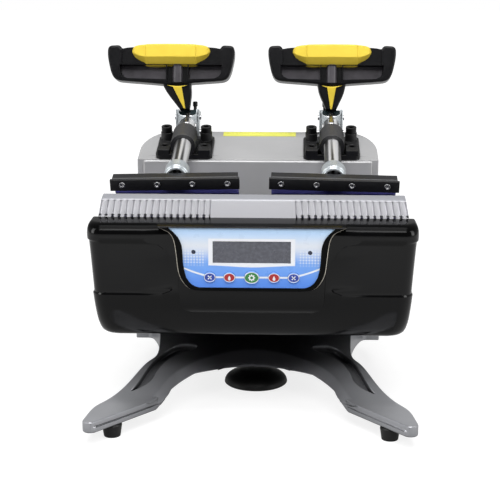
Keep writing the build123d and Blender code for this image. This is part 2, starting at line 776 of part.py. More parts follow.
for side, x in stations.items():
    with BuildPart() as heater_mat:
        with BuildSketch(Plane.YZ.offset(x - mat_width / 2)):
            add(arc_band(mat_outer_r - mat_t, mat_outer_r, mat_front_angle, mat_rear_angle))
        extrude(amount=mat_width)
    save(heater_mat, "heater_mat_" + side)
    with BuildPart() as saddle:
        inner = mat_outer_r + soft_gap
        with BuildSketch(Plane.YZ.offset(x - saddle_width / 2)):
            add(arc_band(inner, inner + saddle_t, -92, 92))
        extrude(amount=saddle_width)
        for foot_x in (x - saddle_width / 3, x + saddle_width / 3):
            with BuildSketch(Plane.YZ.offset(foot_x - 2)):
                with BuildLine():
                    floor_z = casing_bottom + casing_wall
                    Polyline((well_y - 30, floor_z), (well_y + 30, floor_z), (well_y + 30, well_z - 34),
                             (well_y - 30, well_z - 34), close=True)
                make_face()
                with Locations((well_y, well_z)):
                    Circle(inner + saddle_t / 2, mode=Mode.SUBTRACT)
            extrude(amount=4)
    save(saddle, "saddle_" + side)

# ---- stations: clamp mount with barrel, plunger, lever linkage, handle and clamp bar ---------------
with BuildPart() as clamp_bolts:
    for x in stations.values():
        for sx in (-1, 1):
            for s, seat, head_r in bolt_seats:
                with BuildSketch(deck_plane(x + sx * bolt_gap_x / 2, s, mount_t + seat)):
                    Circle(head_r)
                extrude(amount=bolt_head_h)
                with BuildSketch(deck_plane(x + sx * bolt_gap_x / 2, s, mount_t + seat + bolt_head_h)):
                    RegularPolygon(2.9, 6)
                extrude(amount=-3.5, mode=Mode.SUBTRACT)
                with BuildSketch(deck_plane(x + sx * bolt_gap_x / 2, s, mount_t + seat)):
                    Circle(2.9)
                extrude(amount=-(mount_t + seat + hood_wall + 6))
save(clamp_bolts, "clamp_bolts")

with BuildPart() as base_pins:
    for x in stations.values():
        with BuildSketch(side_plane(x)):
            with Locations((pivot_s, pivot_h)):
                Circle(pin_r)
        extrude(amount=lever_half + 1.5, both=True)
save(base_pins, "base_pins")

for side, x in stations.items():
    with BuildPart() as clamp_mount:
        with BuildSketch(deck_plane(x, 1 + mount_len / 2)):
            RectangleRounded(mount_wide, mount_len, 5)
        extrude(amount=mount_t)
        for sx in (-1, 1):
            with BuildSketch(deck_plane(x + sx * bolt_gap_x / 2, bolt_front_s, mount_t - 1)):
                Circle(boss_half)
                with Locations((0, -bolt_front_s / 2 + 0.5)):
                    Rectangle(2 * boss_half, bolt_front_s - 1)
            extrude(amount=front_seat + bolt_head_h + 1)
            with BuildSketch(deck_plane(x + sx * bolt_gap_x / 2, bolt_rear_s, mount_t - 1)):
                Circle(boss_half)
            extrude(amount=rear_seat + 1)
        with BuildSketch(side_plane(x)):
            with BuildLine():
                Polyline((2, mount_t - 1), (barrel_back + 16, mount_t - 1), (barrel_back, axis_h + 3),
                         (2, axis_h + 3), close=True)
            make_face()
        extrude(amount=barrel_r - 2.5, both=True)
        with BuildSketch(axis_plane(x, barrel_front)):
            Circle(barrel_r)
        extrude(amount=-(barrel_front + barrel_back))
        with BuildSketch(side_plane(x)):
            with BuildLine():
                Polyline((mount_len - 8, 1), (pivot_s, 1), (pivot_s + 5.5, pivot_h), (pivot_s - 5.5, pivot_h),
                         (mount_len - 2, mount_t), (mount_len - 8, mount_t), close=True)
            make_face()
            with Locations((pivot_s, pivot_h)):
                Circle(5.5)
        extrude(amount=lug_in + lug_t, both=True)
        with BuildSketch(side_plane(x)):
            with BuildLine():
                Polyline((barrel_back, mount_t), (80, mount_t), (80, 60), (barrel_back, 60), close=True)
            make_face()
            with BuildLine():
                Polyline((mount_len + 1, -1), (80, -1), (80, 60), (mount_len + 1, 60), close=True)
            make_face()
        extrude(amount=lug_in, both=True, mode=Mode.SUBTRACT)
        with BuildSketch(axis_plane(x, barrel_front + 1)):
            Circle(plunger_r + run_fit)
        extrude(amount=-(barrel_front + barrel_back + 20), mode=Mode.SUBTRACT)
        with BuildSketch(side_plane(x)):
            with Locations((pivot_s, pivot_h)):
                Circle(pin_r)
        extrude(amount=30, both=True, mode=Mode.SUBTRACT)
        for s, seat, head_r in bolt_seats:
            head_top = mount_t + seat + bolt_head_h
            with Locations(*[deck_plane(x + sx * bolt_gap_x / 2, s, head_top) for sx in (-1, 1)]):
                CounterBoreHole(radius=3.0, counter_bore_radius=head_r + run_fit,
                                counter_bore_depth=bolt_head_h, depth=30)
    save(clamp_mount, "clamp_mount_" + side)

    with BuildPart() as plunger:
        with BuildSketch(axis_plane(x, cup_back + 4)):
            Circle(plunger_r)
        extrude(amount=-(cup_back + 4 + tail_s + tail_end))
        with BuildSketch(side_plane(x)):
            with BuildLine():
                Polyline((tail_s - 11, 0), (tail_s + 20, 0), (tail_s + 20, 40), (tail_s - 11, 40), close=True)
            make_face()
        extrude(amount=link_half + 0.4, both=True, mode=Mode.SUBTRACT)
        with BuildSketch(side_plane(x)):
            with Locations((tail_s, axis_h)):
                Circle(pin_r)
        extrude(amount=plunger_r - 1.2, both=True)
    save(plunger, "plunger_" + side)

    with BuildPart() as link:
        with BuildSketch(side_plane(x)):
            with Locations((tail_s, axis_h)):
                Circle(link_eye_r)
            with Locations((crank_s, crank_h)):
                Circle(link_end_r)
            make_hull()
            with Locations((tail_s, axis_h)):
                Circle(pin_r + open_pivot_gap, mode=Mode.SUBTRACT)
            with Locations((crank_s, crank_h)):
                Circle(pin_r + run_fit, mode=Mode.SUBTRACT)
        extrude(amount=link_half, both=True)
    save(link, "link_" + side)

    with BuildPart() as link_pin:
        with BuildSketch(side_plane(x)):
            with Locations((crank_s, crank_h)):
                Circle(pin_r)
        extrude(amount=lever_half + 1.5, both=True)
    save(link_pin, "link_pin_" + side)

    inner_side = -1 if x > 0 else 1
    # folded lever: two cheeks, front flanges with a slot for the link, and a bridge at the back
    with BuildPart() as lever:
        with BuildSketch(lever_side(x)):
            with BuildLine():
                Polyline((-lever_deep, 9), (-lever_deep, lever_len - 1.5), (lever_deep, lever_len),
                         (lever_deep, 8), (5.5, -2.5), (-4.5, -2.5), close=True)
            make_face()
            Circle(6.0)
        extrude(amount=lever_half, both=True)
        with BuildSketch(lever_front(x, lever_deep + 1)):
            with Locations((0, lever_len / 2)):
                Rectangle(2 * (lever_half - lever_t), 2 * lever_len)
        extrude(amount=-(2 * lever_deep + 2), mode=Mode.SUBTRACT)
        with BuildSketch(lever_front(x, lever_deep)):
            with Locations((-(lever_half + slot_half) / 2, 14), ((lever_half + slot_half) / 2, 14)):
                Rectangle(lever_half - slot_half, 13.6)
        extrude(amount=-lever_t)
        with BuildSketch(lever_front(x, -lever_deep)):
            with Locations((0, 17.5)):
                Rectangle(2 * lever_half, 8)
        extrude(amount=2.0)
        with BuildSketch(lever_front(x, -lever_deep)):
            with Locations((inner_side * tab_x, tab_top - 3)):
                Rectangle(6, 6)
        extrude(amount=-(tab_d - lever_deep + 3))
        for place, radius in (((pivot_s, pivot_h), pin_r + run_fit), ((crank_s, crank_h), pin_r)):
            with BuildSketch(side_plane(x)):
                with Locations(place):
                    Circle(radius)
            extrude(amount=30, both=True, mode=Mode.SUBTRACT)
    save(lever, "lever_" + side)

    with BuildPart() as stop_screw:
        with BuildSketch(lever_cross(x + inner_side * tab_x, tab_top, -tab_d)):
            Circle(2.0)
        extrude(amount=tab_rise)
        with BuildSketch(lever_cross(x + inner_side * tab_x, tab_top + tab_rise, -tab_d)):
            Circle(3.0)
        extrude(amount=5.0)
    save(stop_screw, "stop_screw_" + side)

    shift = handle_shift[side]
    neck_low_x = x + 0.2 * shift
    neck_high_x = x + 0.62 * shift
    top_x = x + shift
    with BuildPart() as neck_inlay:
        with BuildSketch(lever_cross(neck_low_x, lever_len + 0.8, neck_low_front)):
            Rectangle(1.6, 1.6)
        with BuildSketch(lever_cross(neck_high_x, neck_top, neck_high_d)):
            Rectangle(9.0, 1.6)
        loft()
    save(neck_inlay, "neck_inlay_" + side)

    with BuildPart() as handle:
        with BuildSketch(lever_cross(neck_low_x, lever_len, (neck_low_front - neck_low_back) / 2)):
            RectangleRounded(14.4, neck_low_front + neck_low_back, 3)
        with BuildSketch(lever_cross(neck_high_x, neck_top + 0.2)):
            RectangleRounded(27.8, 2 * neck_high_d, 3)
        loft()
        with BuildSketch(lever_cross(x, stem_low, (stem_front - neck_low_back) / 2)):
            Rectangle(2 * (lever_half - lever_t), stem_front + neck_low_back)
        extrude(amount=lever_len - stem_low + 1)
        with BuildSketch(lever_front(top_x, handle_depth / 2)) as t_outline:
            with BuildLine():
                Polyline((0, neck_top), (14, neck_top), (54.5, 49.3), (handle_half, 69),
                         (handle_half, handle_top), (handle_half - 11, handle_top),
                         (handle_half - 12.5, handle_top - 4), (0, handle_top - 4), close=True)
            make_face()
            lobe = t_outline.vertices().sort_by(Axis.X)
            fillet(lobe[-2:], 5.0)
            fillet(t_outline.vertices().filter_by_position(Axis.X, 50, handle_half - 8), 1.8)
            mirror(about=Plane.YZ)
        extrude(amount=-handle_depth)
        for face_d, inward in ((handle_depth / 2, -1), (-handle_depth / 2, 1)):
            with BuildSketch(lever_front(top_x, face_d)):
                with BuildLine():
                    Polyline((15, 53.5), (47, 56), (49.5, pocket_top), (15, pocket_top), close=True)
                make_face()
                mirror(about=Plane.YZ)
            extrude(amount=inward * pocket_depth, mode=Mode.SUBTRACT)
            with BuildSketch(lever_front(top_x, face_d)):
                with Locations((0, (neck_top + pocket_top) / 2 + 3)):
                    Rectangle(2 * column_half, pocket_top - neck_top - 6)
            extrude(amount=inward * column_depth, mode=Mode.SUBTRACT)
        add(neck_inlay.part, mode=Mode.SUBTRACT)
    save(handle, "handle_" + side)

    with BuildPart() as grip:
        with BuildSketch(lever_front(top_x, grip_depth / 2)) as grip_outline:
            with Locations((0, (grip_low + grip_high) / 2)):
                Rectangle(2 * grip_half, grip_high - grip_low)
            chamfer(grip_outline.vertices(), 6.0, 8.5)
        extrude(amount=-grip_depth)
        long_edges = edges().filter_by(Axis.X)
        chamfer(long_edges, 3.5)
        add(handle.part, mode=Mode.SUBTRACT)
    save(grip, "grip_" + side)

    with BuildPart() as end_cup:
        with BuildSketch(side_plane(x)):
            with BuildLine():
                Polyline((-cup_back, axis_h + plunger_r), (-cup_back, axis_h + cup_r - 1),
                         (-cup_back - 1, axis_h + cup_r),
                         (-cup_front + 3.5, axis_h + cup_r), (-cup_front + 2.5, axis_h + cup_r - 1),
                         (-cup_front + 1, axis_h + cup_r - 1), (-cup_front, axis_h + cup_r - 2),
                         (-cup_front, axis_h + 8), (-cup_back - 6, axis_h + 8), (-cup_back - 6, axis_h + 3.1),
                         (-cup_back - 4, axis_h + 3.1), (-cup_back - 4, axis_h + plunger_r), close=True)
            make_face()
        revolve(axis=Axis(deck_point(x, 0, axis_h), deck_back))
    save(end_cup, "end_cup_" + side)

    roll = bar_roll[side]
    with BuildPart() as cup_screw:
        with BuildSketch(axis_plane(x, cup_back + 4)):
            Circle(3.0)
        extrude(amount=bar_back + 5 - cup_back - 4)
        with BuildSketch(axis_plane(x, cup_back + 6)):
            RegularPolygon(5.8, 6)
        extrude(amount=4.5)
        with BuildSketch(axis_plane(x, cup_back + 10.5)):
            Circle(6.6)
        extrude(amount=1.0)
    save(cup_screw, "cup_screw_" + side)

    with BuildPart() as clamp_bar:
        with BuildSketch(axis_plane(x, bar_back, roll)):
            Rectangle(bar_len, bar_h)
        extrude(amount=strip_back - bar_back)
        along_bar = Axis((0, 0, 0), tuple(axis_plane(x, 0, roll).x_dir))
        chamfer(edges().filter_by(along_bar).sort_by(Axis.Z)[-2:], 0.8)
        with BuildSketch(axis_plane(x, bar_back - 1)):
            Circle(3.0)
        extrude(amount=6.0, mode=Mode.SUBTRACT)
        with Locations(axis_plane(x, strip_back, roll)):
            with GridLocations(strip_screw_pitch, 1, 4, 1):
                Hole(radius=1.5, depth=8.0)
    save(clamp_bar, "clamp_bar_" + side)

    with BuildPart() as clamp_strip:
        with BuildSketch(axis_plane(x, strip_back, roll)):
            Rectangle(strip_len, strip_h)
        extrude(amount=strip_front - strip_back)
        with Locations(axis_plane(x, strip_front, roll)):
            with GridLocations(strip_screw_pitch, 1, 4, 1):
                CounterBoreHole(radius=1.5, counter_bore_radius=strip_screw_r, counter_bore_depth=1.8,
                                depth=strip_front - strip_back)
    save(clamp_strip, "clamp_strip_" + side)

    with BuildPart() as strip_screws:
        with BuildSketch(axis_plane(x, strip_front + 0.4, roll)):
            with GridLocations(strip_screw_pitch, 1, 4, 1):
                Circle(strip_screw_r - 0.2)
        extrude(amount=-2.2)
        with BuildSketch(axis_plane(x, strip_front + 0.4, roll)):
            with GridLocations(strip_screw_pitch, 1, 4, 1):
                RegularPolygon(1.6, 6)
        extrude(amount=-1.4, mode=Mode.SUBTRACT)
        with BuildSketch(axis_plane(x, strip_front - 1.8, roll)):
            with GridLocations(strip_screw_pitch, 1, 4, 1):
                Circle(1.45)
        extrude(amount=-8.0)
    save(strip_screws, "strip_screws_" + side)
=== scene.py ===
import json
from math import cos, pi, radians, sin, sqrt

import bmesh
import bpy
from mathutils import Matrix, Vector


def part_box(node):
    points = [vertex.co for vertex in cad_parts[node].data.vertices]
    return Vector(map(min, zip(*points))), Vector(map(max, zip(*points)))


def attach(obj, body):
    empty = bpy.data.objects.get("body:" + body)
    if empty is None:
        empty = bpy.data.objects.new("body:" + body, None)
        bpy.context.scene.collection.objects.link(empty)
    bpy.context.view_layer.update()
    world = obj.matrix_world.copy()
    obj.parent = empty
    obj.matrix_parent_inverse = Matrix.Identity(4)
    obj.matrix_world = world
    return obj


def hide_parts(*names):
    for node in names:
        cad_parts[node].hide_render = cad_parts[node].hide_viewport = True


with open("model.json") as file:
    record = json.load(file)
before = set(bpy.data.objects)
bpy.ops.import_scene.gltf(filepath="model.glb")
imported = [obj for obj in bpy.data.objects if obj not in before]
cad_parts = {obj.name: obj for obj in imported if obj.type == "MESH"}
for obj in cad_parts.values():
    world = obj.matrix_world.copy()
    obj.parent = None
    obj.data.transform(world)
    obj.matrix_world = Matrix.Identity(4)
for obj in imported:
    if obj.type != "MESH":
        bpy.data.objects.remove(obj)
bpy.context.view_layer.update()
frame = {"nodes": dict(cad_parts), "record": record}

# Double mug press. Lengths are in millimetres, apart from those of the floor, lamps and camera, and
# become metres in add_mesh. The frame is the CAD frame: +X is the operator's right, the operator
# stands at -Y, and +Z is up.
MM = 0.001
nodes = frame["nodes"]
stations = {"left": -73.25, "right": 73.25}

# the hood's sloping deck, and the levers' pivots above it
deck_front_y, deck_front_z = 45.0, 215.0
deck_tilt = radians(12.8)
pivot_back, pivot_up = 60.0, 6.5
lever_lean = radians(14.0)


def box_mm(name):
    """The low and high corners of a CAD node's box, in millimetres."""
    return [Vector(corner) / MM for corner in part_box(name)]


def deck_point(x, back, up):
    """A point so far back along the deck from its front edge, and so far above the deck."""
    y = deck_front_y + back * cos(deck_tilt) - up * sin(deck_tilt)
    z = deck_front_z + back * sin(deck_tilt) + up * cos(deck_tilt)
    return Vector((x, y, z))


def lever_point(x, w, d=0.0):
    """A point w along the raised lever from its pivot and d towards the operator."""
    pivot = deck_point(x, pivot_back, pivot_up)
    return pivot + Vector((0, w * sin(lever_lean) - d * cos(lever_lean),
                           w * cos(lever_lean) + d * sin(lever_lean)))


# ---- finishes --------------------------------------------------------------------------------
def linear(code):
    """A written sRGB colour such as 'F5DC50' as linear light."""
    values = [int(code[i:i + 2], 16) / 255 for i in (0, 2, 4)]
    return [v / 12.92 if v < 0.04045 else ((v + 0.055) / 1.055) ** 2.4 for v in values] + [1.0]


class Shading:
    """A node tree; the methods add nodes to it and return their outputs."""

    def __init__(self, tree, coordinates):
        self.tree = tree
        self.place = self.node("ShaderNodeTexCoord").outputs[coordinates]

    def node(self, kind, **settings):
        made = self.tree.nodes.new(kind)
        for name, value in settings.items():
            setattr(made, name, value)
        return made

    def join(self, value, socket):
        if hasattr(value, "is_output"):
            self.tree.links.new(value, socket)
        else:
            socket.default_value = value

    def math(self, operation, a, b=0.0):
        made = self.node("ShaderNodeMath", operation=operation)
        self.join(a, made.inputs[0])
        self.join(b, made.inputs[1])
        return made.outputs[0]

    def axes(self):
        split = self.node("ShaderNodeSeparateXYZ")
        self.join(self.place, split.inputs[0])
        return split.outputs

    def in_mm(self, metres):
        return self.math("MULTIPLY", metres, 1 / MM)

    def noise(self, size, detail=3.0, stretch=(1, 1, 1)):
        """Noise whose lumps are about size millimetres across."""
        mapping = self.node("ShaderNodeMapping")
        mapping.inputs["Scale"].default_value = stretch
        self.join(self.place, mapping.inputs["Vector"])
        made = self.node("ShaderNodeTexNoise")
        made.inputs["Scale"].default_value = 1 / (size * MM)
        made.inputs["Detail"].default_value = detail
        self.join(mapping.outputs[0], made.inputs["Vector"])
        return made.outputs["Fac"]

    def between(self, value, low, high, start=0.0, end=1.0, smooth=False):
        """Low where value is start or less, high where it is end or more."""
        kind = "SMOOTHSTEP" if smooth else "LINEAR"
        made = self.node("ShaderNodeMapRange", interpolation_type=kind)
        for item, socket in zip((value, start, end, low, high), made.inputs):
            self.join(item, socket)
        return made.outputs[0]

    def mix(self, amount, first, second):
        """First where amount is 0, second where it is 1; either may be a written colour."""
        made = self.node("ShaderNodeMix", data_type="RGBA")
        self.join(amount, made.inputs[0])
        # the node's colours are its inputs 6 and 7 and its output 2
        for colour, socket in zip((first, second), made.inputs[6:8]):
            self.join(linear(colour) if isinstance(colour, str) else colour, socket)
        return made.outputs[2]


class Finish(Shading):
    """A procedural material. The methods that draw noise take the size of its lumps."""

    coat_rough = 0.08
    drift_range = (0.3, 0.7)

    def __init__(self, name, metal=0.0, coat=0.0, specular=0.5):
        self.material = bpy.data.materials.new(name)
        self.material.use_nodes = True
        super().__init__(self.material.node_tree, "Object")
        self.shader = self.tree.nodes["Principled BSDF"]
        self.set("Metallic", metal)
        self.set("Coat Weight", coat)
        self.set("Coat Roughness", self.coat_rough)
        self.set("Specular IOR Level", specular)

    def set(self, socket, value):
        self.join(value, self.shader.inputs[socket])

    def tones(self, size, dark, light):
        """A colour that drifts between two tones."""
        return self.mix(self.between(self.noise(size), 0.0, 1.0, *self.drift_range), dark, light)

    def uneven_gloss(self, size, low, high):
        """Roughness that drifts between two values."""
        self.set("Roughness", self.between(self.noise(size), low, high, *self.drift_range))

    def grain(self, size, depth):
        """Raises the surface unevenly, by up to depth millimetres."""
        made = self.node("ShaderNodeBump")
        made.inputs["Strength"].default_value = 1.0
        made.inputs["Distance"].default_value = depth * MM
        self.join(self.noise(size, 1.0), made.inputs["Height"])
        self.set("Normal", made.outputs[0])


def plain_finish(name, dark, light, rough, drift=30.0, grain=4.0, grain_depth=0.01, **shader):
    """A finish that drifts between two tones, with uneven gloss and a fine grain."""
    made = Finish(name, **shader)
    made.set("Base Color", made.tones(drift, dark, light))
    made.uneven_gloss(drift / 5, rough - 0.04, rough + 0.05)
    made.grain(grain, grain_depth)
    return made


paint = plain_finish("satin_grey_paint", "A2A2A3", "AAAAAB", 0.34, 60, 5.0, 0.01, metal=0.2)
gloss = plain_finish("gloss_black_plastic", "060606", "080809", 0.13, 45, 9.0, 0.01, specular=0.2)
bezel_black = plain_finish("bezel_black_plastic", "080808", "0B0B0C", 0.3, 45, 9.0, 0.006, specular=0.05)
zinc = plain_finish("zinc_plate", "A2A8AC", "BCC2C5", 0.3, 5, 5.0, 0.006, metal=0.5)
steel = plain_finish("bright_steel", "9E9EA0", "B4B4B6", 0.26, 8, 3.0, 0.004, metal=1.0)
black_screw = plain_finish("black_oxide_screw", "101011", "1A1A1B", 0.36, 4, 3.0, 0.006, metal=0.6)
rubber = plain_finish("black_rubber", "0A0A0A", "111111", 0.5, 10, 2.4, 0.02, specular=0.35)
bar_black = plain_finish("black_anodised_bar", "111113", "18181B", 0.36, 20, 3.0, 0.004, metal=0.2)
handle_black = plain_finish("handle_black_plastic", "0B0B0D", "101012", 0.32, 12, 9.0, 0.008, specular=0.14)
# a lighter grey copy of the handle's black plastic, for the pocket floors and the column: a painted highlight
pocket_painted_highlight = plain_finish("pocket_highlight_plastic", "343236", "4A474C", 0.36, 16, 9.0, 0.004, specular=0.3)
# a dark teal plate for inside the levers' channels: painted shade
lever_painted_shade = plain_finish("lever_inside_plate", "1A2A2E", "26393E", 0.34, 6, 4.0, 0.006, metal=0.4)
yellow = plain_finish("grip_yellow_rubber", "D4BA3C", "DDC242", 0.5, 14, 5.0, 0.02, specular=0.25)
strip_yellow = plain_finish("strip_yellow_film", "D2D256", "DADA60", 0.35, 10, 4.0, 0.004)
silicone = plain_finish("navy_silicone", "20205E", "28286E", 0.5, 12, 3.0, 0.01)
socket_black = plain_finish("socket_black_plastic", "131313", "1B1B1B", 0.42, 10, 3.0, 0.01)
board_green = plain_finish("green_board", "14502C", "1C6438", 0.4, 6, 1.5, 0.01)
core_iron = plain_finish("core_iron", "54504A", "6A655C", 0.5, 5, 1.5, 0.02, metal=0.5)
led_dark = plain_finish("dark_led", "1A2038", "262E48", 0.2, 2, 2.0, 0.004)
# a thin silver strip on the bezel's edge: a painted highlight
bezel_highlight_paint = plain_finish("bezel_highlight_paint", "C0B8A8", "D8D2C4", 0.3, 20, 4.0, 0.004, metal=0.2)
white_print = plain_finish("white_print", "E6E8EC", "EEF0F2", 0.35, 4, 0.5, 0.002)

# the casing's lip, close under the guard, mirrors less than the faces below it
lip_starts, lip_full = 178.0, 182.0
height = gloss.in_mm(gloss.axes()[2])
gloss.set("Specular IOR Level", gloss.between(height, 0.2, 0.03, lip_starts, lip_full, smooth=True))

# the clamp mounts: black enamel, greyer on the turned barrels
cast_black = Finish("cast_black_enamel", specular=0.35)
off_station = cast_black.math("ABSOLUTE", cast_black.in_mm(cast_black.axes()[0]))
off_station = cast_black.math("ABSOLUTE", cast_black.math("SUBTRACT", off_station, stations["right"]))
on_barrel = cast_black.between(off_station, 1.0, 0.0, 3.0, 12.0, smooth=True)
cast_black.set("Base Color", cast_black.mix(on_barrel, "151516", "3A3A3B"))
cast_black.uneven_gloss(2.8, 0.42, 0.51)
cast_black.grain(2.4, 0.06)

# polished rod: bright and dark lines run along it in its colour, a painted reflection
polished_rod = Finish("polished_rod", metal=0.35)
painted_reflection_streak = polished_rod.noise(4.6, detail=0.0, stretch=(1, 0.02, 0.02))
painted_reflection_streak = polished_rod.between(painted_reflection_streak, 0.0, 1.0, 0.4, 0.6, smooth=True)
polished_rod.set("Base Color", polished_rod.mix(painted_reflection_streak, "2C2C2C", "C8C8C9"))
polished_rod.uneven_gloss(3, 0.34, 0.42)

# the casting: satin metallic paint, with painted shade in its hollows and close under the casing, and darker
# towards its middle, a painted reflection of the black casing
cast_paint = Finish("cast_grey_paint", metal=0.62)
painted_shade_reach = 35 * MM
dark_within, light_beyond = 0.03, 0.13
# painted shade: ambient occlusion darkens the colour to 161618 in hollows and under the casing
painted_shade_ao = cast_paint.node("ShaderNodeAmbientOcclusion", samples=8)
painted_shade_ao.inputs["Distance"].default_value = painted_shade_reach
painted_shade_ao = cast_paint.between(painted_shade_ao.outputs["AO"], 0.0, 1.0, 0.25, 0.9, smooth=True)
# painted reflection of the black casing: the colour darkens to 3C3C40 towards the middle
painted_reflection_fade = cast_paint.math("ABSOLUTE", cast_paint.axes()[0])
painted_reflection_fade = cast_paint.between(painted_reflection_fade, 0.0, 1.0, dark_within, light_beyond, smooth=True)
painted_reflection_tone = cast_paint.mix(painted_reflection_fade, "3C3C40", cast_paint.tones(50, "A0A1A5", "AAABAF"))
cast_paint.set("Base Color", cast_paint.mix(painted_shade_ao, "161618", painted_reflection_tone))
cast_paint.uneven_gloss(10, 0.28, 0.35)
cast_paint.grain(7.0, 0.012)

# the guard: silver paint, painted darker on the band that slopes back, a painted reflection of the black bars
silver = Finish("silver_guard_paint", metal=0.08, specular=0.3)
painted_reflection_band = silver.between(silver.in_mm(silver.axes()[2]), 0.0, 1.0, 200.4, 201.2)
silver.set("Base Color", silver.mix(painted_reflection_band, "C8C8CD", "8A8B90"))
silver.uneven_gloss(12, 0.3, 0.38)
silver.grain(7.0, 0.012)

# the display: dark glass over a fine grey speckle
lcd_glass = Finish("lcd_glass", coat=0.6)
speckle = lcd_glass.between(lcd_glass.noise(3.0), 0.0, 1.0, 0.4, 0.8)
lcd_glass.set("Base Color", lcd_glass.mix(speckle, "3E404B", "565863"))
lcd_glass.uneven_gloss(8, 0.2, 0.3)

# the panel's film: sky blue above, nearly white in the middle, mid blue below, with printed white marks
key_row = 138.8
line_half = 0.8
line_level_to, line_rise = 30.0, 9.0
panel_half = 62.0
print_white = "EEF1F6"
dot_white = "E4ECF8"
frame_white = "F0F2F8"


def panel_print(finish):
    """What film and keys share: places aside and up in millimetres, the low blue and the white line."""
    across, _, up = finish.axes()
    across = finish.in_mm(across)
    up = finish.in_mm(up)
    aside = finish.math("ABSOLUTE", across)
    blue = finish.between(up, 0.0, 1.0, 129.0, 150.0, smooth=True)
    blue = finish.mix(blue, "528CEE", "74A8F4")
    sweep = finish.math("POWER", finish.between(aside, 0.0, 1.0, line_level_to, panel_half), 1.6)
    sweep = finish.math("MULTIPLY", sweep, line_rise)
    off_line = finish.math("SUBTRACT", finish.math("SUBTRACT", up, sweep), key_row)
    line = finish.between(finish.math("ABSOLUTE", off_line), 1.0, 0.0, line_half - 0.2, line_half + 0.2)
    return aside, up, blue, line


film = Finish("panel_film", coat=0.2)
aside, up, low_blue, line = panel_print(film)
pale = film.between(up, 0.0, 1.0, 150.0, 168.0, smooth=True)
tint = film.mix(pale, low_blue, "E2E8F2")
tint = film.mix(film.between(up, 0.0, 1.0, 166.0, 182.0, smooth=True), tint, "BCDCFE")

# fields of pale dots beside the display, fading out above and below
dot_pitch = 2.6
dots_from = 40.0
dots_low, dots_high = 148.0, 166.0
dot_x = film.math("SINE", film.math("MULTIPLY", aside, pi / dot_pitch))
dot_z = film.math("SINE", film.math("MULTIPLY", up, pi / dot_pitch))
dots = film.math("ABSOLUTE", film.math("MULTIPLY", dot_x, dot_z))
dots = film.between(dots, 0.0, 1.0, 0.35, 0.6)
dots = film.math("MULTIPLY", dots, film.between(aside, 0.0, 1.0, dots_from, dots_from + 3))
dots = film.math("MULTIPLY", dots, film.between(up, 0.0, 1.0, dots_low, dots_low + 5))
dots = film.math("MULTIPLY", dots, film.between(up, 1.0, 0.0, dots_high - 4, dots_high))
tint = film.mix(film.math("MULTIPLY", dots, 0.7), tint, dot_white)

# the display's white frame, whose lower edge sags in the middle
frame_middle, frame_half_wide, frame_half_high, frame_sag = 161.6, 38.2, 12.1, 1.5
sag = film.math("SUBTRACT", 1.0, film.between(aside, 0.0, 1.0, 0.0, 38.0, smooth=True))
below = film.math("SUBTRACT", film.math("SUBTRACT", frame_middle, up), film.math("MULTIPLY", sag, frame_sag))
off_middle = film.math("MAXIMUM", below, film.math("SUBTRACT", up, frame_middle))
frame_x = film.between(aside, 1.0, 0.0, frame_half_wide - 0.2, frame_half_wide + 0.2)
frame_z = film.between(off_middle, 1.0, 0.0, frame_half_high - 0.2, frame_half_high + 0.2)
tint = film.mix(film.math("MULTIPLY", frame_x, frame_z), tint, frame_white)
film.set("Base Color", film.mix(line, tint, print_white))
film.uneven_gloss(9, 0.26, 0.34)


def key_film(name, dark, light, place, half_wide, half_high):
    """A key's film: an oval in its colour with a white rim, on the panel's blue."""
    made = Finish(name, coat=0.2)
    aside, up, blue, line = panel_print(made)
    off_x = made.math("DIVIDE", made.math("SUBTRACT", aside, place), half_wide)
    off_z = made.math("DIVIDE", made.math("SUBTRACT", up, key_row), half_high)
    away = made.math("ADD", made.math("MULTIPLY", off_x, off_x), made.math("MULTIPLY", off_z, off_z))
    away = made.math("SQRT", away)
    ground = made.mix(line, blue, print_white)
    ground = made.mix(made.between(away, 1.0, 0.0, 1.12, 1.2), ground, print_white)
    oval = made.between(away, 1.0, 0.0, 0.98, 1.04)
    made.set("Base Color", made.mix(oval, ground, made.tones(5, dark, light)))
    made.uneven_gloss(9, 0.26, 0.34)
    return made


# each pair of keys, and the key in the middle: two tones, place aside, half width and half height
key_paint = {
    "key_blue": key_film("key_blue_film", "1E3A96", "2846AA", 37.0, 4.5, 3.55),
    "key_red": key_film("key_red_film", "A01218", "B01C22", 19.7, 4.5, 3.55),
    "key_green": key_film("key_green_film", "267838", "308440", 0.0, 5.9, 4.5),
}

# the finish of each material slot, put on the CAD pieces
slot_finish = {
    "base_paint": cast_paint, "silver_paint": paint, "rubber": rubber, "strip_yellow": strip_yellow,
    "socket_black": socket_black, "board": board_green, "core": core_iron, "gloss_black": gloss,
    "film": film, "lcd": lcd_glass, "led": led_dark, "guard": silver, "black_screw": black_screw,
    "steel": steel, "silicone": silicone, "cast_black": cast_black, "chrome": polished_rod, "zinc": zinc,
    "grip_yellow": yellow, "handle_black": handle_black, "bar_black": bar_black, **key_paint,
}
node_slot = {part["node"]: part["material_slot"] for part in frame["record"]["subparts"]}
for name, obj in nodes.items():
    obj.data.materials.clear()
    obj.data.materials.append(slot_finish[node_slot[name]].material)


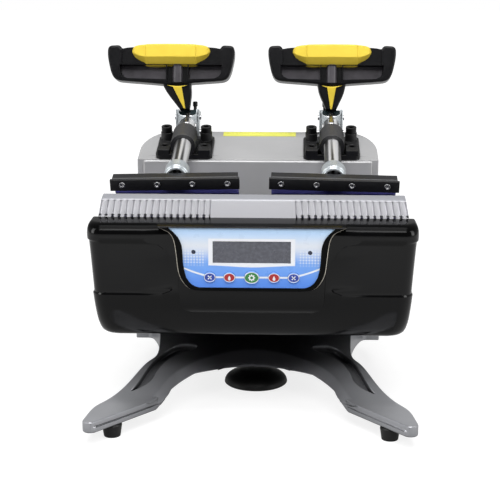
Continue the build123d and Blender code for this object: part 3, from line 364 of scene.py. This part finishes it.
# ---- mesh helpers ------------------------------------------------------------------------------
def add_mesh(name, points, faces, body, slot, finish, replaces=(), sharp=32):
    """A piece from points in millimetres; it rides on a body and takes a finish. The slot is not used."""
    mesh = bpy.data.meshes.new(name)
    mesh.from_pydata([Vector(p) * MM for p in points], [], faces)
    joined = bmesh.new()
    joined.from_mesh(mesh)
    bmesh.ops.remove_doubles(joined, verts=joined.verts, dist=0.005 * MM)
    bmesh.ops.recalc_face_normals(joined, faces=joined.faces)
    joined.to_mesh(mesh)
    joined.free()
    piece = bpy.data.objects.new(name, mesh)
    bpy.context.scene.collection.objects.link(piece)
    mesh.materials.append(finish.material)
    shade(piece, sharp)
    if body:
        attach(piece, body)
    if replaces:
        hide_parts(*replaces)
    return piece


def shade(piece, sharp):
    """Smooth shading, apart from edges over the sharp angle in degrees."""
    piece.data.polygons.foreach_set("use_smooth", [True] * len(piece.data.polygons))
    piece.data.set_sharp_from_angle(angle=radians(sharp))


def soften(piece, width, angle):
    """Rounds the edges over an angle in degrees."""
    edge = piece.modifiers.new("edge", "BEVEL")
    edge.width = width * MM
    edge.segments = 3
    edge.limit_method = "ANGLE"
    edge.angle_limit = radians(angle)
    even = piece.modifiers.new("even", "WEIGHTED_NORMAL")
    even.keep_sharp = True
    return edge


def skin(loops, caps=True):
    """Points and faces of a surface through closed loops of equally many points."""
    count = len(loops[0])
    points = [p for loop in loops for p in loop]
    faces = []
    for row in range(len(loops) - 1):
        for k in range(count):
            a = row * count + k
            b = row * count + (k + 1) % count
            faces.append((a, b, b + count, a + count))
    if caps:
        faces.append(tuple(range(count)))
        faces.append(tuple(range(len(points) - count, len(points))))
    return points, faces


def carve(piece, cutters):
    """Cuts closed meshes, given as (points, faces) in millimetres, out of a piece."""
    for points, faces in cutters:
        tool = add_mesh("cutter", points, faces, None, None, gloss)
        cut = piece.modifiers.new("cut", "BOOLEAN")
        cut.object = tool
        cut.solver = "EXACT"
        bpy.context.view_layer.update()
        done = piece.evaluated_get(bpy.context.evaluated_depsgraph_get())
        done = bpy.data.meshes.new_from_object(done)
        piece.modifiers.remove(cut)
        piece.data = done
        bpy.data.objects.remove(tool)


def block(low, high):
    (x0, y0, z0), (x1, y1, z1) = low, high
    return skin([[(x0, y0, z), (x1, y0, z), (x1, y1, z), (x0, y1, z)] for z in (z0, z1)])


def gather(parts):
    """Several (points, faces) pairs as one."""
    points, faces = [], []
    for more, sides in parts:
        faces += [tuple(i + len(points) for i in side) for side in sides]
        points += more
    return points, faces


def turns(count):
    """Angles spread evenly round a circle."""
    return [2 * pi * k / count for k in range(count)]


def rod(start, end, radius, sides=48):
    """A straight round bar between two points."""
    start, end = Vector(start), Vector(end)
    length_way = (end - start).normalized()
    across = length_way.orthogonal().normalized()
    other = length_way.cross(across)
    ring = [across * cos(turn) * radius + other * sin(turn) * radius for turn in turns(sides)]
    return skin([[start + r for r in ring], [end + r for r in ring]])


def through(points, at):
    """A smooth curve through (place, value) points, read at a place."""
    places = [p for p, _ in points]
    values = [v for _, v in points]
    at = min(max(at, places[0]), places[-1])
    k = max(i for i in range(len(places) - 1) if places[i] <= at)
    slopes = []
    for i in range(len(points)):
        low, high = max(i - 1, 0), min(i + 1, len(points) - 1)
        slopes.append((values[high] - values[low]) / (places[high] - places[low]))
    gap = places[k + 1] - places[k]
    t = (at - places[k]) / gap
    return (values[k] * (1 + 2 * t) * (1 - t) ** 2 + values[k + 1] * t * t * (3 - 2 * t)
            + gap * (slopes[k] * t * (1 - t) ** 2 - slopes[k + 1] * t * t * (1 - t)))


# ---- curves and plates ---------------------------------------------------------------------------
def along(points, count):
    """Count points spread evenly along the smooth curve through the given (across, up) points."""
    reach = [0.0]
    for (a, b), (c, d) in zip(points, points[1:]):
        reach.append(reach[-1] + sqrt((c - a) ** 2 + (d - b) ** 2))
    across = [(s, p[0]) for s, p in zip(reach, points)]
    up = [(s, p[1]) for s, p in zip(reach, points)]
    steps = [reach[-1] * k / (count - 1) for k in range(count)]
    return [(through(across, s), through(up, s)) for s in steps]


def both_sides(half):
    """A closed outline from its right half, which runs from the top middle to the bottom middle."""
    return half + [(-a, b) for a, b in reversed(half) if a > 0.01]


def sideways(line, k, closed):
    """The unit step at right angles to an outline at its point k."""
    if closed:
        (a, b), (c, d) = line[k - 1], line[(k + 1) % len(line)]
    else:
        (a, b), (c, d) = line[max(k - 1, 0)], line[min(k + 1, len(line) - 1)]
    size = sqrt((c - a) ** 2 + (d - b) ** 2)
    return (d - b) / size, -(c - a) / size


def inset(outline, amount):
    """An outline moved inward along its own normals; it runs clockwise."""
    moved = []
    for k, (a, b) in enumerate(outline):
        across, up = sideways(outline, k, True)
        moved.append((a + across * amount, b + up * amount))
    return moved


def plate(outline, back, front):
    """A flat piece on the panel between two places in y."""
    return skin([[(a, y, b) for a, b in outline] for y in (back, front)])


# ---- control casing ------------------------------------------------------------------------------
casing_low, casing_high = box_mm("control_casing")
casing_half = 147.5
casing_bottom, casing_top = casing_low.z, casing_high.z
casing_back = casing_high.y
casing_front = -120.0
panel_y = -123.0
corner_r, corner_steps = 13.0, 8

# the lip: where the front starts to round over to the top, and how far it leans in and back there
lip_low, lip_in, lip_back = 176.0, 4.0, 10.0

# the shallow field round the console, and the console that stands out of it
recess_low, recess_high, recess_deep, recess_in = 122.0, 168.5, 0.8, 1.2
recess_edge = 1.6
console_low, console_high = 103.5, 184.0

# outlines of the front, as (z, y) for faces and (z, x) for edges
face_line = ((78.5, -98.0), (79.6, -100.8), (82.0, -103.6), (86.0, -106.6), (92.0, -110.0),
             (100.0, -113.6), (110.0, -117.0), (120.5, -119.6), (recess_low, casing_front))
half_line = ((78.5, 133.0), (79.6, 135.4), (82.6, 138.0), (91.0, 140.4), (102.0, 141.8), (121.0, 143.4),
             (140.0, 144.8), (163.0, 146.6), (173.0, casing_half))
console_line = ((105.0, 54.0), (106.5, 58.0), (109.0, 62.2), (118.0, 64.0), (145.0, 65.0), (166.0, 67.5),
                (173.5, 69.2), (179.0, 72.8), (182.0, 78.0), (console_high, 84.0))
console_face = ((console_low, -115.0), (105.0, -117.2), (107.0, -119.8), (110.0, -121.4), (118.0, -122.6),
                (127.0, panel_y))
recess_line = ((recess_low, 79.0), (124.5, 72.0), (130.0, 69.4), (145.0, 70.2), (153.0, 71.8),
               (158.0, 73.4), (162.3, 76.2), (166.7, 82.5), (recess_high, 92.0))


def casing_row(z):
    """One level of the casing: its outline from the back left corner round to the back right."""
    rise = max(0.0, (z - lip_low) / (casing_top - lip_low))
    swell = 1 - sqrt(max(0.0, 1 - rise * rise))
    half = through(half_line, z) - lip_in * swell
    front = through(face_line, z) + lip_back * swell
    side_y = front
    console = through(console_line, z)
    if recess_low <= z <= recess_high:
        half -= recess_in
        side_y += recess_deep
        border = through(recess_line, z)
    else:
        border = max(95.0 if z > recess_high else 79.0, console + 6)
    row = [(-half, casing_back), (-half, -10.0), (-half, side_y + corner_r)]
    for k in range(1, corner_steps + 1):
        turn = k / corner_steps * pi / 2
        row.append((-half + corner_r * (1 - cos(turn)), side_y + corner_r * (1 - sin(turn))))
    face = min(through(console_face, z), front) if console_low <= z <= console_high else front
    row += [(-(half - corner_r + border + recess_edge) / 2, side_y), (-border - recess_edge, side_y),
            (-border, front), (-console - 0.5, front), (-console, face), (-console + 5, face),
            (-console / 2, face), (0.0, face)]
    row += [(-x, y) for x, y in reversed(row[:-1])]
    return [(x, y, z) for x, y in row]


levels = [casing_bottom, 79.6, 82.0, 86.0, 92.0, 98.0, 103.4, 105.0, 107.0, 109.0, 112.0, 116.0, 120.6,
          recess_low, 124.5, 127.0, 132.0, 140.0, 148.0, 154.0, 159.0, 163.0, 166.7, recess_high, 170.2,
          173.0, lip_low]
levels += [lip_low + (casing_top - lip_low) * sin(radians(turn)) for turn in (20, 38, 54, 68, 80, 90)]

# the casing is cut away above its rear shelf, along the mug well, behind the film, and at the display
# and the keys
well_y, well_z, well_r = -48.0, 157.0, 47.5
rear_shelf, ledge_back = 160.0, -84.0
beyond = 200
key_gap = 0.6
lcd_low, lcd_high = box_mm("lcd_module")
open_back = block((-beyond, ledge_back, rear_shelf), (beyond, casing_back + 5, casing_top + 5))
well = rod((-beyond, well_y, well_z), (beyond, well_y, well_z), well_r, 72)
behind_film = block((-60, panel_y + 3, 129), (60, panel_y + 11, 174))
window = block((lcd_low.x - 1, panel_y - 5, lcd_low.z - 0.2),
               (lcd_high.x + 1, panel_y + 4, lcd_high.z + 0.2))
cutters = [open_back, well, behind_film, window]
key_middle = {}
for name in nodes:
    if name.startswith("key_"):
        low, high = box_mm(name)
        key_middle[name] = (low + high) / 2
        near, far = [(key_middle[name].x, y, key_middle[name].z) for y in (panel_y - 5, panel_y + 5)]
        cutters.append(rod(near, far, (high.x - low.x) / 2 + key_gap, 32))
points, faces = skin([casing_row(z) for z in levels])
casing = add_mesh("casing_moulding", points, faces, "body", "gloss_black", gloss, ["control_casing"])
carve(casing, cutters)
shade(casing, 28)

# ---- bezel: a rounded rim between the casing and the film -----------------------------------------
rim_top, rim_low, film_top, film_low = 183.8, 126.2, 183.4, 129.4
rim_points = ((82.9, rim_top), (76.7, 181.2), (72.4, 178.8), (68.9, 173.4), (67.3, 166.2), (66.1, 156.3),
              (64.9, 145.4), (63.2, 139.1), (59.7, 132.7), (56.2, 129.2), (51.7, 127.2), (44.0, 126.3))
film_points = ((73.5, film_top), (69.4, 179.8), (65.2, 175.2), (62.5, 170.0), (61.0, 160.0), (60.3, 150.0),
               (58.0, 139.0), (53.0, 132.2), (46.5, film_low), (42.0, film_low))
rim_steps = 44
rim_outer = [(0.0, rim_top)] + along(rim_points, rim_steps) + [(0.0, rim_low)]
rim_inner = [(0.0, film_top)] + along(film_points, rim_steps) + [(0.0, film_low)]

# the rim's section, as (share of the way from its outer to its inner edge, y)
rim_section = ((0.0, -121.0), (0.0, -123.6), (0.03, -124.2), (0.09, -124.7), (0.18, -124.95), (0.3, -125.0),
               (0.8, -125.0), (0.93, -124.8), (1.0, -124.3), (1.0, -123.1))
loops = []
for share, y in rim_section:
    half = [(a + (c - a) * share, b + (d - b) * share) for (a, b), (c, d) in zip(rim_outer, rim_inner)]
    loops.append([(a, y, b) for a, b in both_sides(half)])
points, faces = skin(loops + [loops[0]], caps=False)
add_mesh("bezel_rim", points, faces, "body", "gloss_black", bezel_black, ["console_bezel"], 40)

# ---- white symbols raised a little from the keys ---------------------------------------------------
key_face = -124.6


def gear(radius, teeth, swing):
    """The outline of a cog; one with no swing is round."""
    return [(cos(t) * (radius + swing * cos(teeth * t)), sin(t) * (radius + swing * cos(teeth * t)))
            for t in turns(64)]


def spanner(angle, length, wide):
    """A bar whose ends are half as wide again."""
    half = [(-length, -wide * 1.5), (-length * 0.7, -wide), (length * 0.7, -wide), (length, -wide * 1.5)]
    corners = half + [(-a, -b) for a, b in half]
    return [(a * cos(angle) - b * sin(angle), a * sin(angle) + b * cos(angle)) for a, b in corners]


def key_mark(name, outline, front):
    """A raised mark on a key, whose front stands so far out of the key's face."""
    middle = key_middle[name]
    return plate([(middle.x + a, middle.z + b) for a, b in outline], key_face + 0.1, key_face - front)


drop = [(1.6 * sin(t) * sin(t / 2) ** 1.2, 2.2 * cos(t) - 0.4) for t in turns(40)]
symbols = {"set": [spanner(pi / 4, 2.2, 0.4), spanner(-pi / 4, 2.2, 0.4)], "heat": [drop],
           "mode": [gear(2.7, 8, 0.5)]}
for name in key_middle:
    marks = [key_mark(name, outline, 0.08) for outline in symbols[name.split("_")[-1]]]
    add_mesh(name + "_symbol", *gather(marks), name, "film", white_print)
centre = key_mark("key_mode", gear(1.3, 6, 0.0), 0.16)
add_mesh("key_mode_centre", *centre, "key_mode", "key_green", key_paint["key_green"])

# ---- ribbed guard: convex lobes with sharp valleys, a plain middle and a sloping top band ----------
guard_half, guard_plain, guard_ribs = 140.0, 38.6, 17
guard_low, guard_shoulder, guard_top = 185.0, 201.0, 203.8
guard_front, guard_inside = -88.0, -83.4
guard_lean = 2.0
guard_taper = 0.025
rib_depth, notch_depth, notch_top, notch_half = 1.8, 2.2, 187.6, 0.3
end_cap = 1.0
rib_pitch = (guard_half - end_cap - guard_plain) / guard_ribs
rib_steps = 8


def guard_section(x):
    """The guard's cross-section at x: front face upward, over the top, and back down inside."""
    reach = (abs(x) - guard_plain) / rib_pitch
    off_valley = abs(reach - round(reach)) * 2
    valley, notch = 0.0, 0.0
    if reach > -0.01:
        valley = rib_depth * (1 - sqrt(max(0.0, 1 - (1 - off_valley) ** 2)))
        notch = notch_depth if off_valley < notch_half else 0.0
    face = [(guard_low, valley + notch), (notch_top - 0.3, valley + notch), (notch_top, valley),
            (192.0, valley), (198.6, valley), (199.8, valley * 0.7), (200.4, valley * 0.2)]
    line = [(guard_front + guard_lean * (z - guard_low) / (guard_shoulder - guard_low) + deep, z)
            for z, deep in face]
    line += [(-85.4, 201.4), (-84.0, 201.9), (-79.0, 203.1), (-74.6, guard_top), (-74.0, guard_top - 0.4),
             (-74.0, 200.8), (-81.8, 198.6), (-82.4, 198.0), (guard_inside, guard_low)]
    return [(x * (1 - guard_taper * (z - guard_low) / (guard_top - guard_low)), y, z) for y, z in line]


# places along the guard: close ones keep the plain middle flat up to its edge
xs = [0.0, guard_plain - 0.6, guard_plain - 0.1]
xs += [guard_plain + rib_pitch * k / rib_steps for k in range(guard_ribs * rib_steps + 1)]
xs += [guard_half - end_cap / 2, guard_half]
xs = [-x for x in reversed(xs[1:])] + xs
points, faces = skin([guard_section(x) for x in xs])
add_mesh("guard_cover", points, faces, "body", "guard", silver, ["ribbed_guard"], 38)

# ---- handles and grips ---------------------------------------------------------------------------
# Outlines are (across, w) points in the lever's own frame: w runs up the lever, d to the operator.
handle_shift = {"left": -17.5, "right": 0.5}
handle_outline = along(((0.0, 86.2), (30.0, 86.0), (44.0, 85.4), (49.4, 84.4)), 14)
handle_outline += along(((50.6, 84.6), (51.6, 86.2), (53.5, 87.4), (58.0, 87.4), (62.5, 86.8), (64.6, 84.4),
                         (65.0, 79.0), (64.4, 73.0), (63.0, 66.0), (61.2, 59.4), (58.6, 54.4), (54.6, 51.8),
                         (48.0, 50.8), (32.0, 49.6), (14.6, 48.2), (0.0, 46.6)), 56)

# the shell's rounded edge, as (inset, d)
face_steps = ((2.6, -11.0), (1.1, -10.4), (0.3, -9.4), (0.0, -8.0), (0.0, 8.0), (0.3, 9.4), (1.1, 10.4),
              (2.6, 11.0))

# the neck, as (w, half width, front, back)
neck_rings = ((22.2, 5.2, -1.0, -8.0), (23.6, 5.4, 3.0, -8.0), (26.0, 6.6, 3.5, -8.2),
              (31.0, 8.8, 4.8, -8.4), (36.0, 11.2, 6.1, -8.6), (41.0, 13.0, 7.4, -8.8),
              (45.0, 13.9, 8.5, -9.0), (49.5, 14.6, 8.7, -9.0))
neck_lean_from, neck_lean_over = 22.5, 22.5
neck_low_share, neck_high_share = 0.2, 0.62

# what is cut into both faces of the shell: beside the grip, round the column, and the two pockets
bar_face, bar_face_d = ((-50.6, 67.8), (50.6, 67.8), (50.6, 90.0), (-50.6, 90.0)), 7.0
column_hollow, column_hollow_d = ((-10.6, 49.6), (10.6, 49.6), (10.6, 67.6), (-10.6, 67.6)), 6.0
pocket_half, pocket_gap = 52.5, 11.5
pocket_low, pocket_high, pocket_d = 52.6, 67.4, 1.0
pocket_lining_gap, pocket_lining_back, pocket_lining_front = 0.4, 0.6, 1.5

# the round column between the pockets, and the yellow arc under it
column_wide, column_deep, column_d = 5.6, 5.4, 4.4
column_levels = (48.6, 58.0, 68.4)
smile_half, smile_w, smile_dip, smile_thick = 10.5, 46.9, 1.2, 1.1
smile_back, smile_front = 7.5, 9.6

# where the grip's cross-section changes along the handle, and its lines, as (place, w or d)
grip_us = [0, 8, 16, 22.6, 25.0, 26.0, 28, 30, 33, 36, 37.6, 38.8, 39.6, 40.0]
grip_low = ((0.0, 66.2), (22.6, 66.2), (30.0, 69.0), (36.0, 72.6), (39.2, 76.2), (40.0, 79.0))
grip_high = ((0.0, 88.6), (24.0, 88.2), (34.0, 87.2), (38.4, 85.4), (40.0, 82.6))
grip_front = ((0.0, 14.4), (25.0, 14.4), (26.0, 12.9), (36.0, 12.0), (38.6, 10.5), (40.0, 8.0))
grip_back = ((0.0, 13.5), (30.0, 13.0), (38.0, 11.5), (40.0, 8.0))
grip_edge = ((0.0, 75.4), (26.0, 75.4), (36.0, 78.0), (40.0, 80.6))


def grip_section(u):
    """The grip's cross-section u along the handle, as (w, d) points round it."""
    reach = abs(u)
    low = through(grip_low, reach)
    high = through(grip_high, reach)
    front = through(grip_front, reach)
    back = -through(grip_back, reach)
    edge = min(through(grip_edge, reach), high - 2.0)
    return [(low, back + 4.0), (low, front - 8.2), (low + 0.5, front - 7.2), (edge - 0.3, front - 0.2),
            (edge, front), (high - 2.0, front), (high - 0.8, front - 0.5), (high - 0.2, front - 1.8),
            (high, front - 4.0), (high, back + 4.0), (high - 1.2, back + 1.2), (high - 3.4, back),
            (low + 3.2, back), (low + 1.0, back + 1.4)]


def rounded(half, back, front, radius):
    """A rectangle with rounded corners, as points round it."""
    ring = []
    for k, (a, d) in enumerate(((half, front), (-half, front), (-half, back), (half, back))):
        for step in range(5):
            turn = (k + step / 4) * pi / 2
            ring.append((a - radius * (1 if a > 0 else -1) + radius * cos(turn),
                         d - radius * (1 if d > (back + front) / 2 else -1) + radius * sin(turn)))
    return ring


def lever_prism(x, outline, back, front):
    """An outline of (across, w) points, thick from back to front."""
    return skin([[lever_point(x + a, b, d) for a, b in outline] for d in (back, front)])


def lever_slab(x, outline, near, far):
    """An outline of (d, w) points, thick across the lever from near to far."""
    return skin([[lever_point(x + a, w, d) for d, w in outline] for a in (near, far)])


def lever_rings(x, d, profile):
    """A turned piece standing along w, from (w, radius across, radius towards the operator)."""
    return skin([[lever_point(x + wide * cos(turn), w, d + deep * sin(turn)) for turn in turns(32)]
                 for w, wide, deep in profile])


def pocket_outline(side, middle, shrink=0.0):
    """One hollow of the handle; its inner wall follows the column, which stands over the neck."""
    inner = middle + side * (pocket_gap + shrink)
    outer = side * (pocket_half - shrink)
    low, high = pocket_low + shrink, pocket_high - shrink
    return [(inner, low), (outer - side * 8.0, low + 0.8), (outer - side * 3.4, low + 3.0),
            (outer - side, low + 6.4), (outer, high), (inner, high)]


for side, station in stations.items():
    body = "lever_" + side
    x = station + handle_shift[side]
    neck_low_x = station + neck_low_share * handle_shift[side]
    neck_high_x = station + neck_high_share * handle_shift[side]
    column_x = neck_high_x - x

    ring = both_sides(handle_outline)
    shell = skin([[lever_point(x + a, b, d) for a, b in inset(ring, step)] for step, d in face_steps])
    handle = add_mesh("handle_shell_" + side, *shell, body, "handle_black", handle_black, ["handle_" + side])
    hollow = [(column_x + a, b) for a, b in column_hollow]
    cutters = []
    for way in (1, -1):
        cutters.append(lever_prism(x, bar_face, bar_face_d * way, 12.0 * way))
        cutters.append(lever_prism(x, hollow, column_hollow_d * way, 12.5 * way))
        for hand in (1, -1):
            cutters.append(lever_prism(x, pocket_outline(hand, column_x), pocket_d * way, 13.0 * way))
    carve(handle, cutters)
    soften(handle, 0.7, 40)
    shade(handle, 40)

    # lighter linings in the pockets: a painted highlight
    for hand, end in ((1, "inner"), (-1, "outer")):
        outline = pocket_outline(hand, column_x, pocket_lining_gap)
        pocket = lever_prism(x, outline, pocket_lining_back, pocket_lining_front)
        add_mesh("handle_pocket_%s_%s" % (end, side), *pocket, body, "handle_black", pocket_painted_highlight)

    rings = []
    for w, half, front, back in neck_rings:
        share = min(max((w - neck_lean_from) / neck_lean_over, 0.0), 1.1)
        middle = neck_low_x + (neck_high_x - neck_low_x) * share
        outline = rounded(half, back, front, min(3.0, half - 0.5))
        rings.append([lever_point(middle + a, w, d) for a, d in outline])
    add_mesh("handle_neck_" + side, *skin(rings), body, "handle_black", handle_black)

    # the column in the same lighter plastic: a painted highlight
    post = lever_rings(neck_high_x, column_d, [(w, column_wide, column_deep) for w in column_levels])
    add_mesh("handle_column_" + side, *post, body, "handle_black", pocket_painted_highlight)

    smile = [(smile_half * s / 10, smile_w - smile_dip * (1 - (s / 10) ** 2)) for s in range(-10, 11)]
    smile += [(a, b - smile_thick * (1 - (a / (smile_half + 0.1)) ** 2)) for a, b in reversed(smile)]
    inlay = lever_prism(neck_high_x, smile, smile_back, smile_front)
    add_mesh("smile_inlay_" + side, *inlay, body, "grip_yellow", yellow)

    us = [-u for u in reversed(grip_us[1:])] + grip_us
    cover = skin([[lever_point(x + u, w, d) for w, d in grip_section(u)] for u in us])
    grip = add_mesh("grip_cover_" + side, *cover, body, "grip_yellow", yellow, ["grip_" + side], 24)
    soften(grip, 0.7, 24)

# ---- levers: folded zinc channels, dark inside with sheets of painted shade, whose front flanges dip to the slot ---
lever_half, lever_plate, lever_deep = 11.9, 3.0, 9.8
inner_half, inner_deep = lever_half - lever_plate, lever_deep - lever_plate
pin_round = 6
bridge_thick, tab_out = 2.0, 5.2
lining_gap, lining_thick = 0.05, 0.4
cheek = [(-lever_deep, 9.0), (-lever_deep, 21.0), (lever_deep, 22.5), (lever_deep, 8.0)]
cheek += [(pin_round * cos(radians(turn)), -pin_round * sin(radians(turn))) for turn in range(15, 151, 15)]
flange = [(lever_half, 7.2), (lever_half, 21.8), (10.8, 21.4), (9.8, 18.8), (8.2, 17.0), (5.6, 15.7),
          (2.6, 14.8), (2.6, 7.2)]
bridge = [(-lever_half, 13.5), (lever_half, 13.5), (lever_half, 21.5), (-lever_half, 21.5)]
lining_back = [(-inner_half, 9.5), (inner_half, 9.5), (inner_half, 23.4), (-inner_half, 23.4)]
lining_side = [(-7.8, 9.5), (-7.8, 20.8), (inner_deep, 21.6), (inner_deep, 8.6)]

# the stop screw, as (w, radius)
screw_x, screw_d = 6.2, -12.2
screw_profile = ((20.5, 1.7), (27.4, 1.7), (27.5, 2.2), (28.0, 2.5), (31.8, 2.5), (32.4, 2.0),
                 (32.4, 1.3), (31.0, 1.2))

for side, station in stations.items():
    body = "lever_" + side
    inner = 1 if side == "left" else -1
    tab = [(inner * 3.0, 15.5), (inner * lever_half, 15.5), (inner * lever_half, 21.5), (inner * 3.0, 21.5)]
    folds = [lever_prism(station, bridge, -lever_deep, -lever_deep + bridge_thick),
             lever_prism(station, tab, -lever_deep - tab_out, -lever_deep)]
    # thin dark plates inside the channel: painted shade
    dark = [lever_prism(station, lining_back, -lever_deep + 2.1, -lever_deep + 2.5)]
    for hand in (1, -1):
        folds.append(lever_slab(station, cheek, hand * inner_half, hand * lever_half))
        folds.append(lever_prism(station, [(hand * a, b) for a, b in flange], inner_deep, lever_deep))
        dark.append(lever_slab(station, lining_side, hand * (inner_half - lining_thick),
                               hand * (inner_half - lining_gap)))
    channel = add_mesh("lever_channel_" + side, *gather(folds), body, "zinc", zinc, ["lever_" + side])
    soften(channel, 0.5, 40)
    screw = lever_rings(station + inner * screw_x, screw_d, [(w, r, r) for w, r in screw_profile])
    add_mesh("stop_screw_body_" + side, *screw, body, "black_screw", black_screw, ["stop_screw_" + side])
    add_mesh("lever_lining_" + side, *gather(dark), body, "zinc", lever_painted_shade)

# ---- painted highlight along each side of the bezel: a thin silver strip on its rounded edge ----
highlight_line = rim_outer[1:40]
highlight_y, highlight_r = -123.5, 0.42
taper_top, taper_low = 5, 8
for hand, side in ((-1, "left"), (1, "right")):
    rings = []
    for k, (a, b) in enumerate(highlight_line):
        across, up = sideways(highlight_line, k, False)
        thick = highlight_r * min(1.0, (k + 1) / taper_top, (len(highlight_line) - k) / taper_low)
        rings.append([(hand * (a + across * thick * cos(turn)), highlight_y + thick * sin(turn),
                       b + up * thick * cos(turn)) for turn in turns(10)])
    add_mesh("bezel_highlight_" + side, *skin(rings), "body", "gloss_black", bezel_highlight_paint)

# ---- softened edges on the CAD pieces that stay ---------------------------------------------
edge_width = {"base_casting": 1.2, "hood_shell": 0.8}
small_edge = 0.35
left_sharp = ("panel_overlay", "deck_strip", "hood_front_panel", "control_casing")
weld_within = 0.01
flat_within = 0.6
for name, obj in nodes.items():
    if name in left_sharp:
        continue
    weld = obj.modifiers.new("weld", "WELD")
    weld.merge_threshold = weld_within * MM
    flat = obj.modifiers.new("flat", "DECIMATE")
    flat.decimate_type = "DISSOLVE"
    flat.angle_limit = radians(flat_within)
    soften(obj, edge_width.get(name, small_edge), 32).use_clamp_overlap = False

# ---- stage, light and camera, in metres ----------------------------------------------------------
scene = bpy.context.scene
floor_half = 6
floor_mesh = bpy.data.meshes.new("floor")
corners = [(a * floor_half, b * floor_half, 0) for a, b in ((-1, -1), (1, -1), (1, 1), (-1, 1))]
floor_mesh.from_pydata(corners, [], [(0, 1, 2, 3)])
floor = bpy.data.objects.new("floor", floor_mesh)
scene.collection.objects.link(floor)

# the floor: white far away, a little darker near the object, where its shadow falls, and dimmer there
# in what mirrors it
near_white, near_mirrored = 0.8, 0.4
ground = Finish("pale_floor")
ground.set("Base Color", linear("8C8C8C"))
ground.set("Roughness", 0.9)
ground.set("Emission Color", (1, 1, 1, 1))
away = ground.node("ShaderNodeVectorMath", operation="LENGTH")
ground.join(ground.place, away.inputs[0])
away = away.outputs["Value"]
rays = ground.node("ShaderNodeLightPath").outputs
mirrored = ground.math("MULTIPLY", rays["Is Glossy Ray"], ground.between(away, near_mirrored, 1.0, 0.25, 0.9))
shown = ground.math("MAXIMUM", rays["Is Camera Ray"], mirrored)
shown = ground.math("MAXIMUM", shown, rays["Is Transmission Ray"])
whiteness = ground.between(away, near_white, 1.0, 0.3, 1.4)
ground.set("Emission Strength", ground.math("MULTIPLY", shown, whiteness))
floor_mesh.materials.append(ground.material)

# the studio: white behind the object, dim on the operator's side, so that black plastic stays black
world = bpy.data.worlds.new("studio")
scene.world = world
world.use_nodes = True
sky = Shading(world.node_tree, "Generated")
_, depth_way, up_way = sky.axes()
rays = sky.node("ShaderNodeLightPath").outputs
glow = sky.between(depth_way, 0.06, 0.45, -0.7, 0.2, smooth=True)
seen = sky.math("MAXIMUM", rays["Is Camera Ray"], rays["Is Transmission Ray"])
seen = sky.math("MAXIMUM", seen, sky.math("MULTIPLY", rays["Is Glossy Ray"], glow))
ambient = sky.between(up_way, 0.025, 0.05)
background = sky.tree.nodes["Background"]
background.inputs["Color"].default_value = (1, 1, 1, 1)
sky.join(sky.math("MAXIMUM", seen, ambient), background.inputs["Strength"])


def soft_box(name, place, aim, size, watts):
    """A rectangular lamp that faces the aim."""
    lamp = bpy.data.lights.new(name, "AREA")
    lamp.shape = "RECTANGLE"
    lamp.size, lamp.size_y = size
    lamp.energy = watts
    obj = bpy.data.objects.new(name, lamp)
    obj.location = place
    obj.rotation_euler = (Vector(aim) - Vector(place)).to_track_quat("-Z", "Y").to_euler()
    scene.collection.objects.link(obj)


middle = (0, 0, 0.15)
soft_box("front_box", (0, -1.7, 2.0), (0, -0.1, 0.16), (1.6, 0.9), 34)
soft_box("top_box", (0, -0.3, 1.7), middle, (1.2, 1.0), 24)
soft_box("left_box", (-1.4, -0.6, 0.75), middle, (0.6, 1.1), 12)
soft_box("right_box", (1.4, -0.6, 0.75), middle, (0.6, 1.1), 12)

lens_mm, sensor_mm = 98.3, 36.0
camera_down, camera_turn = 13.38, 2.05
camera = bpy.data.cameras.new("camera")
camera.lens = lens_mm
camera.sensor_width = sensor_mm
camera_obj = bpy.data.objects.new("camera", camera)
camera_obj.location = (0.04023, -1.2888, 0.4411)
camera_obj.rotation_euler = (radians(90 - camera_down), 0, radians(camera_turn))
scene.collection.objects.link(camera_obj)
scene.camera = camera_obj
scene.view_settings.view_transform = "Standard"
